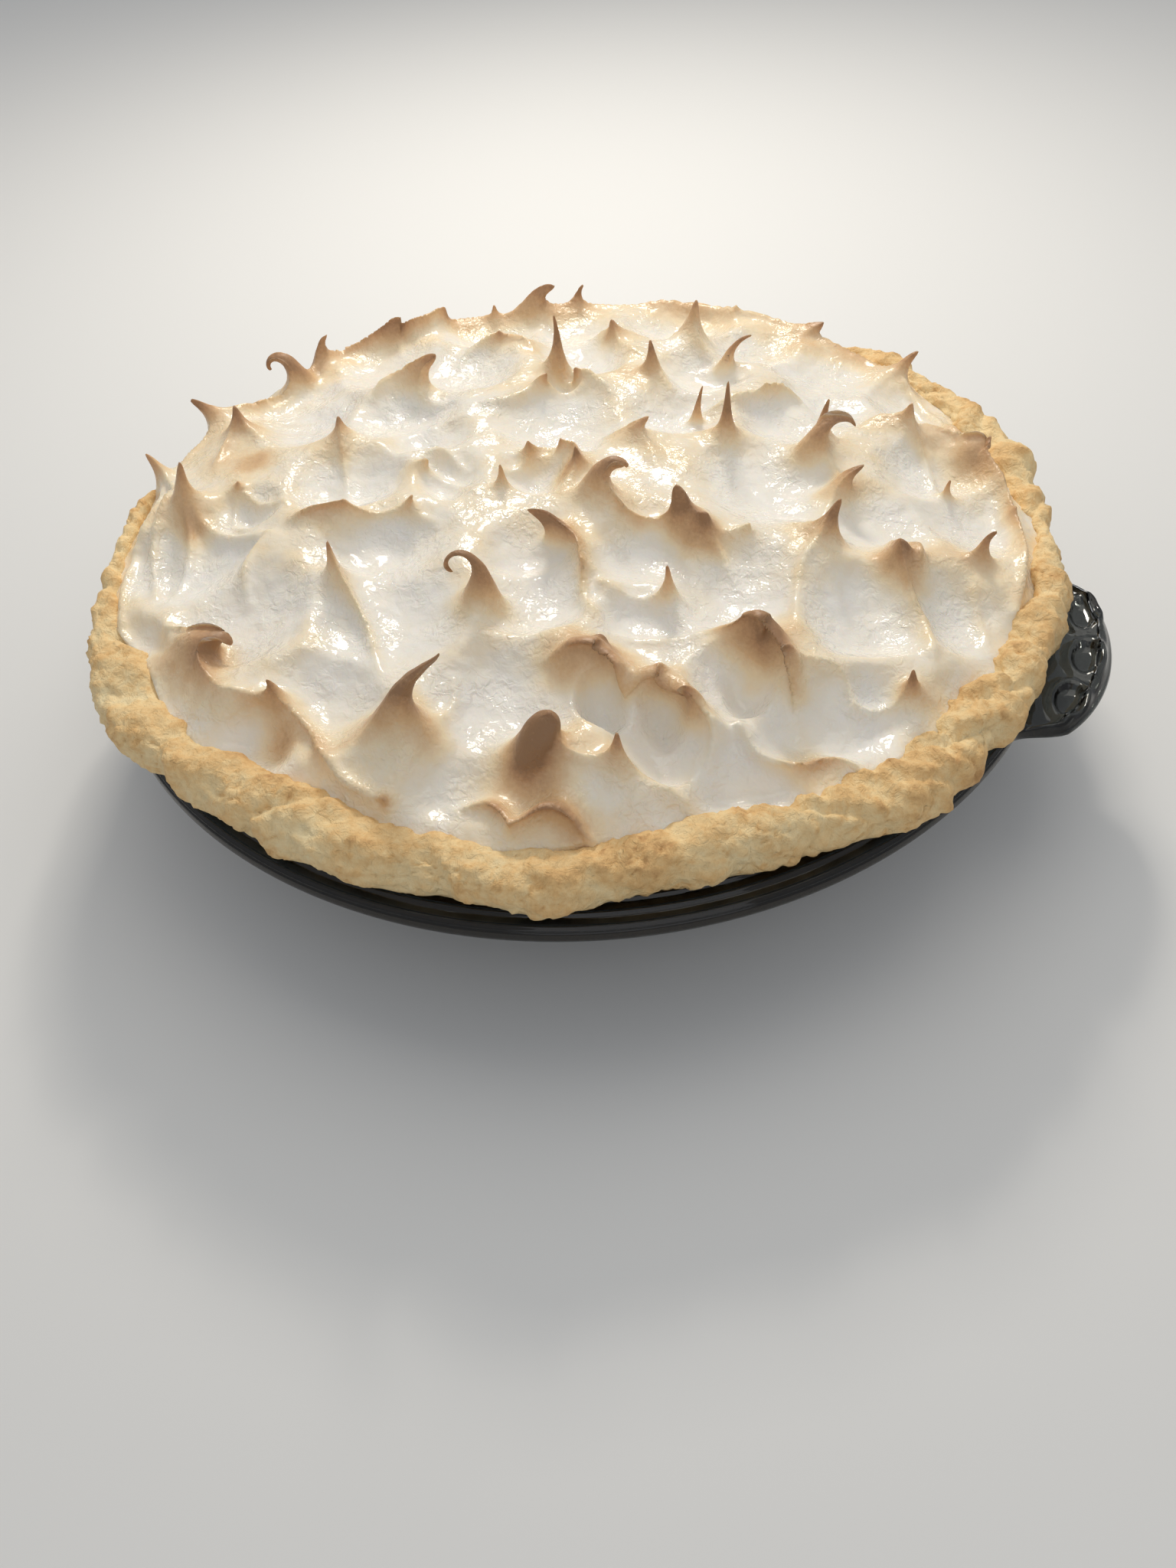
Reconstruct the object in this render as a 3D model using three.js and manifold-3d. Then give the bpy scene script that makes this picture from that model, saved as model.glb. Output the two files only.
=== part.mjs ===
// A whole lemon meringue pie in its own dark glass pie dish.
// Millimetres, +Z up. The origin is the middle of the face that the dish stands on, and the handle
// of the dish reaches out along +X.
import * as THREE from 'three';
import { ConvexHull } from 'three/addons/math/ConvexHull.js';
import { mergeVertices } from 'three/addons/utils/BufferGeometryUtils.js';
import Module from 'manifold-3d';

// ---------------------------------------------------------------- driving dimensions

// Glass dish
const DISH_RADIUS = 130; // outer edge of the flange
const DISH_HEIGHT = 44; // top of the flange, without its ridges
const DISH_MOUTH_RADIUS = 118; // inner wall where it meets the flange
const DISH_FLOOR_RADIUS = 92; // inner wall where it meets the floor
const GLASS = 4; // thickness of wall and floor
const FLANGE_RIDGES = [121, 124.5, 128]; // radii of the pressed rings on the flange
const FLANGE_RIDGE_HEIGHT = 0.8;
const FLANGE_RIDGE_HALF_WIDTH = 1.1;
const HANDLE_REACH = 146;
const HANDLE_HALF_WIDTH = 33;
const HANDLE_ROOT = 122; // radius at which it grows out of the flange
const HANDLE_SHOULDER = [134, 31]; // reach and half width that its outline is drawn towards
const HANDLE_TIP_PULL = 24; // half width that the outline is drawn towards at its reach
const HANDLE_THICKNESS = 6;
const HANDLE_BEVEL = 1.2;
const HANDLE_CURVE_SEGMENTS = 7;
const HANDLE_LAP = 2; // it starts this far outside the mouth of the dish
const THUMB_CELLS = 3;
const THUMB_CELL_SPACING = 17;
const THUMB_CELL_REACH = 138.5; // of the middle cell
const THUMB_CELL_SETBACK = 0.13; // how far back the others are, for each mm along the edge
const THUMB_CELL_RADII = [4.2, 7, 1.6]; // out, along the edge, up
const DISH_SEGMENTS = 48;

// Pastry case
const FIT_GAP = 0.3; // between neighbouring pieces
const CRUST_BED = 47; // the level that the meringue is spread on
const CRUST_UNDERSIDE = DISH_HEIGHT + FLANGE_RIDGE_HEIGHT + FIT_GAP;
const PIE_SEGMENTS = 60; // turns of the case and of the dome, alike so that they fit

// Meringue
const MERINGUE_EDGE = 54; // height of its edge on the crust
const MERINGUE_CROWN = 13; // how far the dome stands above its edge
const DOME_FLATNESS = 4; // power of the dome curve
const RIM_CAP = 2.5; // the rims between hollows rise no higher than this above the dome
const RIM_SOFTNESS = 0.7;
const RIDGE_WIDTH = 1.9;
const RIDGE_FOOT = 5; // a ridge has died away at this many widths from its crest
const PEAK_FOOT = 6; // and a peak's flare at this many girths from its axis
const LEAST_RISE = 1; // what a peak adds at least above the crests that meet at its foot
const CURL_LATENESS = 2; // how late a slight curl sets in on the way to a tip
const CURL_LATENESS_PER_DEGREE = 0.004; // and how much later a stronger one does
const CORE_SHARE = 0.42; // radius of a peak's core over its girth
const BEND_STEPS = 60;
const GRID_STEP = 9; // spacing of the first points of its mesh
const CREST_STEP = 4.5; // and of the points along a crest
const FACET_LIMIT = 9600;
const FACET_ERROR = 0.2; // a facet may stand this far off the shaped surface
const LEAST_EDGE = 0.6; // smaller facets aren't split
const SPLIT_ROUNDS = 8;
const RIM_KEPT_CLEAR = 0.97; // share of the reach beyond which only the rim has points

// Uneven edges: [azimuth in degrees, radius], and the height of the rolled rim: [azimuth, height]
const CRUST_REACH = [
  [-166, 127.5], [-158, 128], [-150, 130], [-143, 133.5], [-134, 134.5], [-125, 132], [-116, 130],
  [-100, 127.5], [-88, 126], [-76, 127.5], [-60, 122.5], [-46, 125], [-33, 128.5], [-15, 130], [10, 130],
  [26, 131.5], [35, 133.5], [44, 131], [52, 133], [62, 132.5], [70, 129], [100, 126], [130, 125.5],
  [160, 127], [178, 129],
];
const CRUST_CROWN = [
  [-168, 56], [-140, 57], [-90, 57], [-60, 56], [-30, 57], [30, 57], [60, 56], [70, 53.5], [80, 50],
  [100, 49.5], [160, 49.5], [178, 52.5],
];
const MERINGUE_REACH = [
  [-170, 126], [-156, 125.5], [-144, 124.5], [-134, 120], [-120, 119.5], [-108, 115], [-98, 113],
  [-84, 115.5], [-71, 113], [-57, 111], [-45, 116.5], [-34, 115], [-20, 117.5], [-5, 121], [16, 124],
  [40, 122], [60, 122.5], [76, 124], [92, 124], [110, 122.5], [134, 122], [156, 123.5], [175, 125.5],
];

// Hollows pressed by the back of a spoon: [x, y, radius, depth]. They meet in sharp rims.
const HOLLOWS = [
  [-104, 30, 16, 4], [-84, 52, 17, 4], [-58, 82, 14, 4], [-34, 86, 13, 4], [-4, 102, 14, 4],
  [24, 92, 13, 4], [50, 86, 15, 4], [78, 82, 14, 4], [104, 26, 14, 4], [104, -14, 12, 4], [94, -54, 12, 4],
  [-110, -62, 11, 4], [-86, -90, 12, 5], [-40, -106, 11, 5], [16, -98, 14, 4.5], [74, -80, 12, 4],
  [-90, 16, 15, 4.5], [-58, 50, 15, 4], [-24, 70, 13, 4], [16, 68, 11, 3.5], [54, 66, 13, 4],
  [88, 42, 13, 4], [-86, -52, 17, 5], [-62, -70, 17, 4.5], [-28, -90, 14, 5], [12, -80, 17, 5],
  [-62, 22, 14, 4], [-62, -16, 14, 5], [-47, 9, 9, 3], [-12, 3, 9, 4.5], [-14, 28, 16, 4],
  [14, 44, 12, 3.5], [46, 50, 13, 4], [52, 18, 18, 4.5], [82, 12, 14, 4], [84, -22, 14, 5],
  [-38, -40, 15, 4.5], [-24, -62, 19, 5], [10, -44, 14, 4.5], [28, -22, 13, 4], [50, -28, 17, 5],
  [38, -48, 15, 4.5], [50, -76, 11, 5], [62, -56, 10, 4.5], [84, -60, 13, 4.5], [-34, -8, 8, 3],
  [68, -83, 6, 4], [-23, 50, 5, 4], [-84, -32, 8, 4], [0, -28, 12, 4], [37, -74, 7.5, 8], [50, -71, 7, 8],
  [66, -54, 8, 8], [-44, -108, 7, 6],
];

// Pulled peaks: [x, y, rise, girth, length of the foot along the lean over its width, azimuth of
// the lean, how far the tip is drawn that way, curl of the tip in degrees]
const PEAKS = {
  leftTip: [-121, 10, 11, 1.6, 1.5, 201, 6, 40],
  leftEdge: [-119, -22, 12, 1.8, 1.6, 201, 2, 35],
  tallFin: [-102, -36, 16, 2.9, 1.6, 21, 2, 15],
  shortFin: [-109, 2, 10, 3, 1.8, 201, -2, 25],
  ringHook: [-111, 40, 24, 1.8, 1.5, 201, 0, 235],
  backLeft: [-110, 54, 15, 2.3, 1.5, 21, -1, 80],
  backFold: [-93, 73, 10, 3.6, 1.8, 21, 2, 110],
  backFin: [-80, 85, 8, 3.4, 1.8, 21, 0, 60],
  backPip: [-66, 94, 6, 1.2, 1.3, 111, 0, 10],
  backHook: [-54, 99, 14.5, 2.8, 1.9, 21, 3, 130],
  backThorn: [-41, 107, 9, 1.1, 1.2, 21, 1, 60],
  willow: [-26, 54, 19, 1.5, 1.3, 201, -1, 14],
  sharkFin: [-67, 36, 12, 2.3, 2, 21, 6, 90],
  tentFlap: [-52, 69, 5, 2.4, 2.2, 21, 0, 20],
  smallCurl: [-27, 42, 5, 1.7, 1.8, 21, 2, 80],
  smallMate: [-18, 51, 6, 1.5, 1.4, 201, 1, 30],
  leftCone: [-72, 2, 7, 2.2, 1.3, 111, 0, 10],
  ringCurl: [-43, -6, 4, 1.7, 1.8, 21, 2, 70],
  thornLeft: [-17, -9, 7.5, 1.2, 1.2, 201, -1, 18],
  bowlLeft: [-17, 10, 5, 2.2, 1.8, 111, 0, 20],
  bowlRight: [-8, 12, 5, 2, 1.8, 201, 0, 20],
  bowlLip: [0, 4, 8, 2.6, 1.4, 201, 0, 35],
  thornMid: [-38, -24, 6.5, 1.2, 1.3, 21, 2, 10],
  leftPip: [-90, -27, 4, 1.3, 1.4, 201, -1, 50],
  sabre: [-43, -54, 13, 1.6, 2.6, 130, 1, 10],
  wave: [6, -21, 13, 2.4, 2.2, 201, 5, 130],
  shepherd: [-3, -52, 28, 1.9, 1.4, 201, -3, 240],
  leftFold: [-66, -83, 16, 3.3, 2, 21, 1, 190],
  greatFin: [-9, -95, 29, 3, 1.9, 8, 10, 60],
  frontPip: [-38, -93, 11, 2.2, 1.6, 201, 0, 15],
  frontBlob: [-1, -111, 4, 2, 1.3, 21, 0, 40],
  thumb: [26, -90, 16, 2.8, 1.6, 21, 2, 30],
  frontThorn: [45, -88, 11, 1.7, 1.4, 111, 0, 8],
  hood: [64, -44, 12, 3, 2.2, -40, 1, 100],
  thornRight: [39, -35, 12, 1.4, 1.3, 201, 0, 12],
  pinRight: [100, -42, 9, 1.5, 1.4, 201, 0, 15],
  backMound: [-18, 81, 8, 2.8, 1.6, 201, 0, 30],
  backCone: [2, 60, 11, 1.8, 1.3, 201, 0, 12],
  broadPeak: [7, 88, 14, 2.7, 1.5, 21, -1, 20],
  backSickle: [20, 74, 15, 1.5, 1.4, 21, 3, 80],
  backCurl: [36, 111, 6, 2.4, 2, 21, 6, 90],
  rightHorn: [69, 98, 11, 1.6, 1.4, 21, 4, 50],
  rightCone: [79, 58, 9, 2.4, 1.6, 21, 0, 10],
  needle: [33, 33, 16, 1.5, 1.2, 111, 0, 8],
  needleSmall: [21, 43, 13, 1.1, 1.2, 21, 1, 12],
  twinSpike: [58, 41, 14, 1.6, 1.3, 21, 0, 20],
  twinHook: [58, 34, 24, 1.9, 1.6, 21, -2, 165],
  rightCurl: [68, 20, 12, 2.2, 1.7, 21, 1, 95],
  rightSickle: [71, -2, 14, 2, 1.5, 21, -1, 50],
  doubleCurl: [8, 24, 7, 2.1, 1.8, 21, 4, 60],
  bigHook: [10, -6, 21, 2.1, 1.4, 21, -2, 175],
  bulb: [34, -9, 13, 2.1, 1.6, 201, 1, 15],
  bulbPip: [41, -11, 7, 2.3, 1.8, -30, 0, 10],
  pebble: [50, -8, 4, 1.5, 1.6, 21, 1, 30],
  pinSmall: [95, 35, 7, 1, 1.2, 21, -1, 30],
  rightHook: [108, 8, 11, 1.2, 1.3, 21, -1, 85],
  rightFold: [90, -4, 7, 3.4, 2.3, -58, 0, 20],
  scallopLeft: [29, -58, 6, 3.6, 2.4, 21, 1, 20],
  scallopTip: [57, -68, 12, 2.1, 1.6, 201, 1, 70],
  edgeLoop: [98, 56, 12, 2.4, 1.8, 21, 1, 190],
};

// Blunt peaks: the radius of the core just under the tip
const CORES = {
  thumb: 4.3, bulb: 1.8, bigHook: 1.9, leftFold: 2.8, hood: 2.2, greatFin: 1.7, backFold: 2.2,
  edgeLoop: 2.4,
};

// Horns: how late the curl of these peaks sets in, where it does so sooner than usual
const HORNS = {
  ringHook: 1.9, twinHook: 1.4, rightCurl: 1.3, edgeLoop: 1.6, leftFold: 1.5, backHook: 2.2, bigHook: 1.8,
};

// Ridges: [start, end, bow to the left, heights at the start, middle and end, curl to the left]
const RIDGES = [
  ['leftEdge', 'leftTip', 2, [3.5, 3, 3.5], 0], ['leftTip', 'ringHook', -2, [3.5, 5, 4], 0],
  ['ringHook', 'backLeft', 0, [3.5, 3, 3.5], 0], ['backLeft', 'backFold', 2, [3.5, 6, 7], 0],
  ['backFold', 'backFin', -3, [7, 7, 6], 0], ['backFin', 'backPip', 2, [4, 2, 2], 0],
  ['backPip', 'backHook', 0, [2, 2, 4], 0], ['backHook', 'backThorn', 0, [3, 2, 3], 0],
  ['backThorn', [-14, 117], 1, [2.5, 2.5, 3], 0], [[-14, 117], [12, 116], 2, [3, 4, 4], 30],
  [[12, 116], 'backCurl', 3, [4, 4, 4], 0], ['backCurl', 'rightHorn', 3, [4, 3, 4], 0],
  ['rightHorn', 'edgeLoop', 2, [3, 2.5, 3], 0], [[84, 62], 'edgeLoop', 2, [2, 4, 5], -40],
  ['edgeLoop', [112, 34], 2, [7, 5, 6], 40], [[112, 34], [119, -4], 2, [6, 5, 3], 40],
  ['leftEdge', [-110, -51], 2, [3.5, 3, 3], 0], [[-110, -51], [-91, -84], -2, [3, 3.5, 2], 0],
  [[-109, -32], [-93, -66], -3, [4, 3, 2], 0], ['leftEdge', 'tallFin', 0, [4, 4, 4], 0],
  ['tallFin', [-88, -68], 3, [4, 3, 1], 0], ['tallFin', [-70, -43], -3, [3, 2.5, 2], 0],
  [[-70, -43], [-65, -64], -3, [2, 2.5, 1], 0], ['shortFin', [-105, -17], 0, [3.5, 3, 1], 0],
  ['shortFin', [-91, -3], 0, [3, 2, 0], 0], ['ringHook', [-116, 18], 3, [3, 3, 1], 0],
  ['leftPip', [-69, -30], -1, [3, 2.5, 1], 0], ['leftPip', [-72, -42], -5, [2, 2, 1], 0],
  ['leftCone', [-57, -24], 0, [3.5, 2.5, 1.5], 0], ['ringCurl', [-24, -12], 2, [2, 2, 1], 0],
  [[-50, -1], [-31, -2], 4, [1, 2.5, 1], 0], [[-65, -38], [-52, -31], 1, [2, 5, 6], -60],
  [[-52, -31], 'thornMid', -1, [6, 4, 3], -50], ['thornMid', [-27, -27], 0, [3, 2, 1], 0],
  ['sabre', [-19, -78], 2, [5.5, 5, 1], 0], [[-76, 27], 'sharkFin', 3, [1, 4, 4], 0],
  ['sharkFin', [-48, 31], -4, [4, 3, 1], 0], [[-62, 57], 'tentFlap', 3, [1, 3, 3.5], 0],
  ['tentFlap', [-37, 64], 2, [3.5, 3, 1], 0], ['smallCurl', [-41, 28], 3, [3.5, 3, 1], 0],
  ['smallMate', [-5, 45], 1, [3.5, 3, 1], 0], ['willow', 'smallMate', -2, [3, 3, 2], 0],
  ['bowlLeft', 'bowlRight', 3, [4, 3, 4], 0], ['bowlLeft', [-22, 0], 2, [4, 3, 1], 0],
  ['bowlRight', 'bowlLip', 2, [5, 5, 5], 0], ['bowlLip', [-1, -6], 1, [5, 3, 1], 0],
  ['bigHook', 'bulb', -4, [4, 5, 2.5], 0], ['bulb', [53, -23], 2, [2.5, 4, 1], 0],
  ['pebble', [43, -12], 0, [1.5, 2, 2], 0], ['doubleCurl', [19, 13], 2, [3, 2, 1], 0],
  ['doubleCurl', [-2, 26], 0, [2, 2, 0.5], 0], ['wave', [16, -33], 2, [9, 7, 5], -50],
  [[16, -33], [26, -48], -2, [5, 3.5, 1.5], 0], ['thornRight', [21, -36], 2, [3, 2, 2], 0],
  ['thornRight', [48, -44], 0, [2, 1.5, 0.5], 0], [[19, 47], [37, 60], -2, [1, 3, 5], 0],
  [[37, 60], [52, 62], 4, [5, 4, 1], 0], ['twinSpike', 'twinHook', 0, [3.5, 5, 3.5], 0],
  ['twinHook', 'rightCurl', 2, [3.5, 3, 3], 0], ['rightCurl', 'rightSickle', -2, [3, 2, 3.5], 0],
  ['rightSickle', [69, -29], -3, [3.5, 3, 1.5], 0], ['rightSickle', [58, 2], 1, [3, 2, 0.5], 0],
  ['rightCone', [93, 33], 2, [3.5, 3, 1], 0], ['rightCone', [66, 56], -2, [3, 2.5, 0.5], 0],
  [[85, 4], [99, -18], -2, [3, 4.5, 3], 0], [[88, 7], [95, -11], 2, [3, 4, 1], 0],
  [[99, -18], [104, -33], 0, [3, 2, 1], 0], ['rightHook', [101, 4], 0, [2, 1.5, 0.5], 0],
  [[108, -2], [114, -15], 0, [2, 2.5, 1], 0], [[50, -45], [60, -43], 1, [1, 4, 7], -90],
  [[60, -43], [73, -49], 2, [7, 9, 8], -120], [[73, -49], [77, -57], 1, [8, 6, 2], -110],
  [[28, -50], [50, -45], -1, [0.5, 2, 1.5], 0], [[75, -47], [89, -50], 4, [2.5, 2, 3], 0],
  [[89, -50], 'pinRight', -2, [3, 2.5, 3], 0], [[66, -68], [82, -72], -3, [2, 4, 4.5], -30],
  [[82, -72], [94, -66], 3, [4.5, 4.5, 2], -30], [[19, -66], [31, -62], 1, [1, 5, 8], -100],
  [[31, -62], [40, -68], 2, [8, 8, 4], -120], [[40, -68], [46, -63], 1, [4, 7, 8], -120],
  [[46, -63], 'scallopTip', 1, [8, 8, 7], -120], ['scallopTip', [62, -79], 3, [6, 4, 1], -90],
  ['thumb', 'frontThorn', -2, [2.5, 3.5, 4], 0], [[61, -89], [69, -90], -2, [2.5, 1.5, 2.5], 0],
  [[69, -90], [74, -86], -2, [2.5, 1.5, 2.5], 0], ['frontThorn', [62, -90], 1, [3.5, 3, 2], 0],
  [[13, -107], [28, -108], 4, [1, 5, 5], -80], [[28, -108], [47, -106], 5, [5, 6, 1], -80],
  [[-80, -78], 'leftFold', 2, [2, 5, 5], -40], ['leftFold', [-53, -95], -2, [5, 5, 3.5], 0],
  [[-53, -95], 'frontPip', -1, [3.5, 4, 5], -30], ['frontPip', [-22, -103], 2, [5, 4.5, 4], -60],
  [[-22, -103], 'frontBlob', -2, [4, 4, 3], -40], [[-2, -74], [2, -87], 2, [0.5, 2, 2], 0],
  ['greatFin', [-2, -103], 1, [5, 2, 0.5], 0], ['backMound', [-3, 69], -2, [3, 2.5, 1], 0],
  ['backMound', [-30, 88], 0, [3, 2, 0.5], 0], ['broadPeak', [16, 78], -2, [4, 4, 1], 0],
  ['broadPeak', [-4, 92], 2, [3.5, 3, 1], 0], ['backCone', [12, 50], 1, [3, 2, 0.5], 0],
];

// ---------------------------------------------------------------- solids

const wasm = await Module();
wasm.setup();

function welded(geometry) {
  const bare = geometry.clone();
  bare.deleteAttribute('normal');
  bare.deleteAttribute('uv');
  const merged = mergeVertices(bare, 1e-4);
  const position = Array.from(merged.attributes.position.array);
  const index = withoutSlivers(merged.index.array);
  return { position, index: signedVolume(position, index) < 0 ? index.toReversed() : index };
}

function withoutSlivers(index) {
  const kept = [];
  for (let i = 0; i < index.length; i += 3) {
    const [a, b, c] = index.slice(i, i + 3);
    if (a !== b && b !== c && c !== a) kept.push(a, b, c);
  }
  return kept;
}

function toSolid({ position, index }) {
  const triVerts = new Uint32Array(index);
  const vertProperties = new Float32Array(position);
  return new wasm.Manifold(new wasm.Mesh({ numProp: 3, vertProperties, triVerts }));
}

const solidOf = (geometry) => toSolid(welded(geometry));

function signedVolume(position, index) {
  const corner = (k) => new THREE.Vector3().fromArray(position, index[k] * 3);
  let sum = 0;
  for (let i = 0; i < index.length; i += 3) sum += corner(i).dot(corner(i + 1).cross(corner(i + 2)));
  return sum / 6;
}

// Fills the pockets that cutting seals and drops loose scraps
function largestPart(solid) {
  return solid.decompose().reduce((best, part) => (part.volume() > best.volume() ? part : best));
}

function toMesh(solid, name, material) {
  const { vertProperties, triVerts } = solid.getMesh();
  const geometry = new THREE.BufferGeometry();
  geometry.setAttribute('position', new THREE.BufferAttribute(vertProperties, 3));
  geometry.setIndex(new THREE.BufferAttribute(triVerts, 1));
  geometry.computeVertexNormals();
  const mesh = new THREE.Mesh(geometry, material);
  mesh.name = name;
  return mesh;
}

// A turned body, its profile given as [radius, height] from the axis round to the axis again
function turned(profile, segments) {
  const points = profile.map(([radius, height]) => new THREE.Vector2(radius, height));
  return new THREE.LatheGeometry(points, segments).rotateX(Math.PI / 2);
}

// A ring of sections turned about the axis, each one for its own azimuth
function turnedSections(section, segments) {
  const pattern = section(0);
  const geometry = turned(pattern, segments);
  const position = geometry.attributes.position;
  for (let turn = 0; turn <= segments; turn++) {
    const azimuth = ((turn % segments) / segments) * 2 * Math.PI;
    section(azimuth).forEach(([radius, height], k) => {
      const [x, y] = [radius * Math.cos(azimuth), radius * Math.sin(azimuth)];
      position.setXYZ(turn * pattern.length + k, x, y, height);
    });
  }
  return geometry;
}

// ---------------------------------------------------------------- uneven edges

const radians = THREE.MathUtils.degToRad;
const smooth = THREE.MathUtils.smoothstep;
const clamp = THREE.MathUtils.clamp;

// The size of an uneven edge at an azimuth, eased from one named place to the next
function eased(edge, azimuth) {
  const first = edge[0][0];
  const turn = THREE.MathUtils.euclideanModulo(THREE.MathUtils.radToDeg(azimuth) - first, 360) + first;
  const ring = [...edge, [first + 360, edge[0][1]]];
  const next = ring.findIndex(([at]) => at > turn);
  const [[from, size], [to, nextSize]] = [ring[next - 1], ring[next]];
  return THREE.MathUtils.lerp(size, nextSize, smooth(turn, from, to));
}

const crustReach = (azimuth) =>
  eased(CRUST_REACH, azimuth) + 0.9 * Math.sin(11 * azimuth + 1) + 0.6 * Math.sin(19 * azimuth);
const crustCrown = (azimuth) =>
  eased(CRUST_CROWN, azimuth) + 0.8 * Math.sin(7 * azimuth + 2) + 0.5 * Math.sin(13 * azimuth);
const meringueReach = (azimuth) =>
  eased(MERINGUE_REACH, azimuth) + 0.6 * Math.sin(9 * azimuth) + 0.5 * Math.sin(23 * azimuth + 1);

// ---------------------------------------------------------------- glass dish

function dishProfile() {
  const wallLean = (DISH_MOUTH_RADIUS - DISH_FLOOR_RADIUS) / (DISH_HEIGHT - GLASS);
  const outerFloor = DISH_FLOOR_RADIUS + 1;
  const flangeUnderside = DISH_HEIGHT - GLASS;
  const rings = FLANGE_RIDGES.flatMap((radius) => [
    [radius + FLANGE_RIDGE_HALF_WIDTH, DISH_HEIGHT],
    [radius, DISH_HEIGHT + FLANGE_RIDGE_HEIGHT],
    [radius - FLANGE_RIDGE_HALF_WIDTH, DISH_HEIGHT],
  ]);
  return [
    [0, 0],
    [outerFloor, 0],
    [outerFloor + GLASS, GLASS / 2],
    [outerFloor + GLASS + wallLean * (flangeUnderside - GLASS), flangeUnderside - 1],
    [DISH_RADIUS - 1, flangeUnderside + 0.6],
    [DISH_RADIUS, flangeUnderside + 2],
    ...rings.sort((a, b) => b[0] - a[0]),
    [DISH_MOUTH_RADIUS, DISH_HEIGHT - 1],
    [DISH_FLOOR_RADIUS + 2 * wallLean, GLASS + 2],
    [DISH_FLOOR_RADIUS - 3, GLASS],
    [0, GLASS],
  ];
}

function handle() {
  const [shoulder, half] = HANDLE_SHOULDER;
  const outline = new THREE.Shape();
  outline.moveTo(HANDLE_ROOT, -HANDLE_HALF_WIDTH);
  outline.bezierCurveTo(shoulder, -half, HANDLE_REACH, -HANDLE_TIP_PULL, HANDLE_REACH, 0);
  outline.bezierCurveTo(HANDLE_REACH, HANDLE_TIP_PULL, shoulder, half, HANDLE_ROOT, HANDLE_HALF_WIDTH);
  outline.closePath();
  const tab = new THREE.ExtrudeGeometry(outline, {
    depth: HANDLE_THICKNESS - 2 * HANDLE_BEVEL,
    bevelSize: HANDLE_BEVEL,
    bevelThickness: HANDLE_BEVEL,
    bevelOffset: -HANDLE_BEVEL,
    bevelSegments: 1,
    curveSegments: HANDLE_CURVE_SEGMENTS,
  }).translate(0, 0, DISH_HEIGHT - HANDLE_THICKNESS + HANDLE_BEVEL);
  let solid = solidOf(tab);
  for (let cell = 0; cell < THUMB_CELLS; cell++) {
    const along = (cell - (THUMB_CELLS - 1) / 2) * THUMB_CELL_SPACING;
    const bead = new THREE.SphereGeometry(1, 10, 5).rotateX(Math.PI / 2);
    const reach = THUMB_CELL_REACH - THUMB_CELL_SETBACK * Math.abs(along);
    bead.scale(...THUMB_CELL_RADII).translate(reach, along, DISH_HEIGHT);
    solid = solid.add(solidOf(bead));
  }
  return solid;
}

function makeDish() {
  const mouth = DISH_MOUTH_RADIUS + HANDLE_LAP;
  const above = 2 * DISH_HEIGHT;
  const bowlRoom = turned([[0, GLASS], [mouth, GLASS], [mouth, above], [0, above]], DISH_SEGMENTS);
  const grip = handle().subtract(solidOf(bowlRoom));
  return solidOf(turned(dishProfile(), DISH_SEGMENTS)).add(grip);
}

// ---------------------------------------------------------------- pastry case

// The section of the case at one azimuth: up the dish wall, round the rolled rim, in to the bed
function crustSection(azimuth, grown = 0) {
  const wallLean = (DISH_MOUTH_RADIUS - DISH_FLOOR_RADIUS) / (DISH_HEIGHT - GLASS);
  const floor = GLASS + FIT_GAP;
  const outer = crustReach(azimuth);
  const inner = meringueReach(azimuth) + FIT_GAP - grown;
  const middle = (outer + inner) / 2;
  const top = crustCrown(azimuth) + grown;
  const hang = CRUST_UNDERSIDE;
  return [
    [0, floor],
    [DISH_FLOOR_RADIUS - 4, floor],
    [DISH_FLOOR_RADIUS + 2 * wallLean - 0.6, floor + 2.4],
    [DISH_MOUTH_RADIUS - 1.4, DISH_HEIGHT - 2],
    [DISH_MOUTH_RADIUS - 0.6, hang],
    [outer - 3, hang],
    [outer - 0.4, hang + 1.6],
    [outer - 0.2, (hang + top) / 2],
    [Math.max(outer - 2.6, middle + 1), top - 1.6],
    [middle + 0.8, top],
    [middle - 0.8, top - 0.3],
    [inner + 0.6, Math.min(MERINGUE_EDGE + 0.6 + grown, top - 1)],
    [inner, Math.min(MERINGUE_EDGE - 1, top - 2)],
    [inner - 3, CRUST_BED + grown],
    [0, CRUST_BED + grown],
  ];
}

const makeCrust = () => solidOf(turnedSections(crustSection, PIE_SEGMENTS));

// ---------------------------------------------------------------- shape of the meringue

// Bends the plan a little, so that no rim runs straight
const wander = (x, y) => [
  x + 1.7 * Math.sin(y / 11 + 0.5) + 0.8 * Math.sin(y / 4.7 + x / 9),
  y + 1.7 * Math.sin(x / 12 + 2) + 0.8 * Math.sin(x / 5.1 - y / 8),
];

// The lowest of all the pressed bowls at a point, with softly capped rims
function hollowRelief(x, y) {
  const [px, py] = wander(x, y);
  let total = Math.exp(-RIM_CAP / RIM_SOFTNESS);
  for (const [hx, hy, radius, depth] of HOLLOWS) {
    const bowl = depth * (((px - hx) ** 2 + (py - hy) ** 2) / radius ** 2 - 1);
    total += Math.exp(-bowl / RIM_SOFTNESS);
  }
  return -RIM_SOFTNESS * Math.log(total);
}

function domeHeight(x, y) {
  const out = clamp(Math.hypot(x, y) / meringueReach(Math.atan2(y, x)), 0, 1);
  const dome = MERINGUE_EDGE + MERINGUE_CROWN * (1 - out ** DOME_FLATNESS);
  return dome + hollowRelief(x, y) * (1 - smooth(out, 0.93, 1));
}

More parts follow.
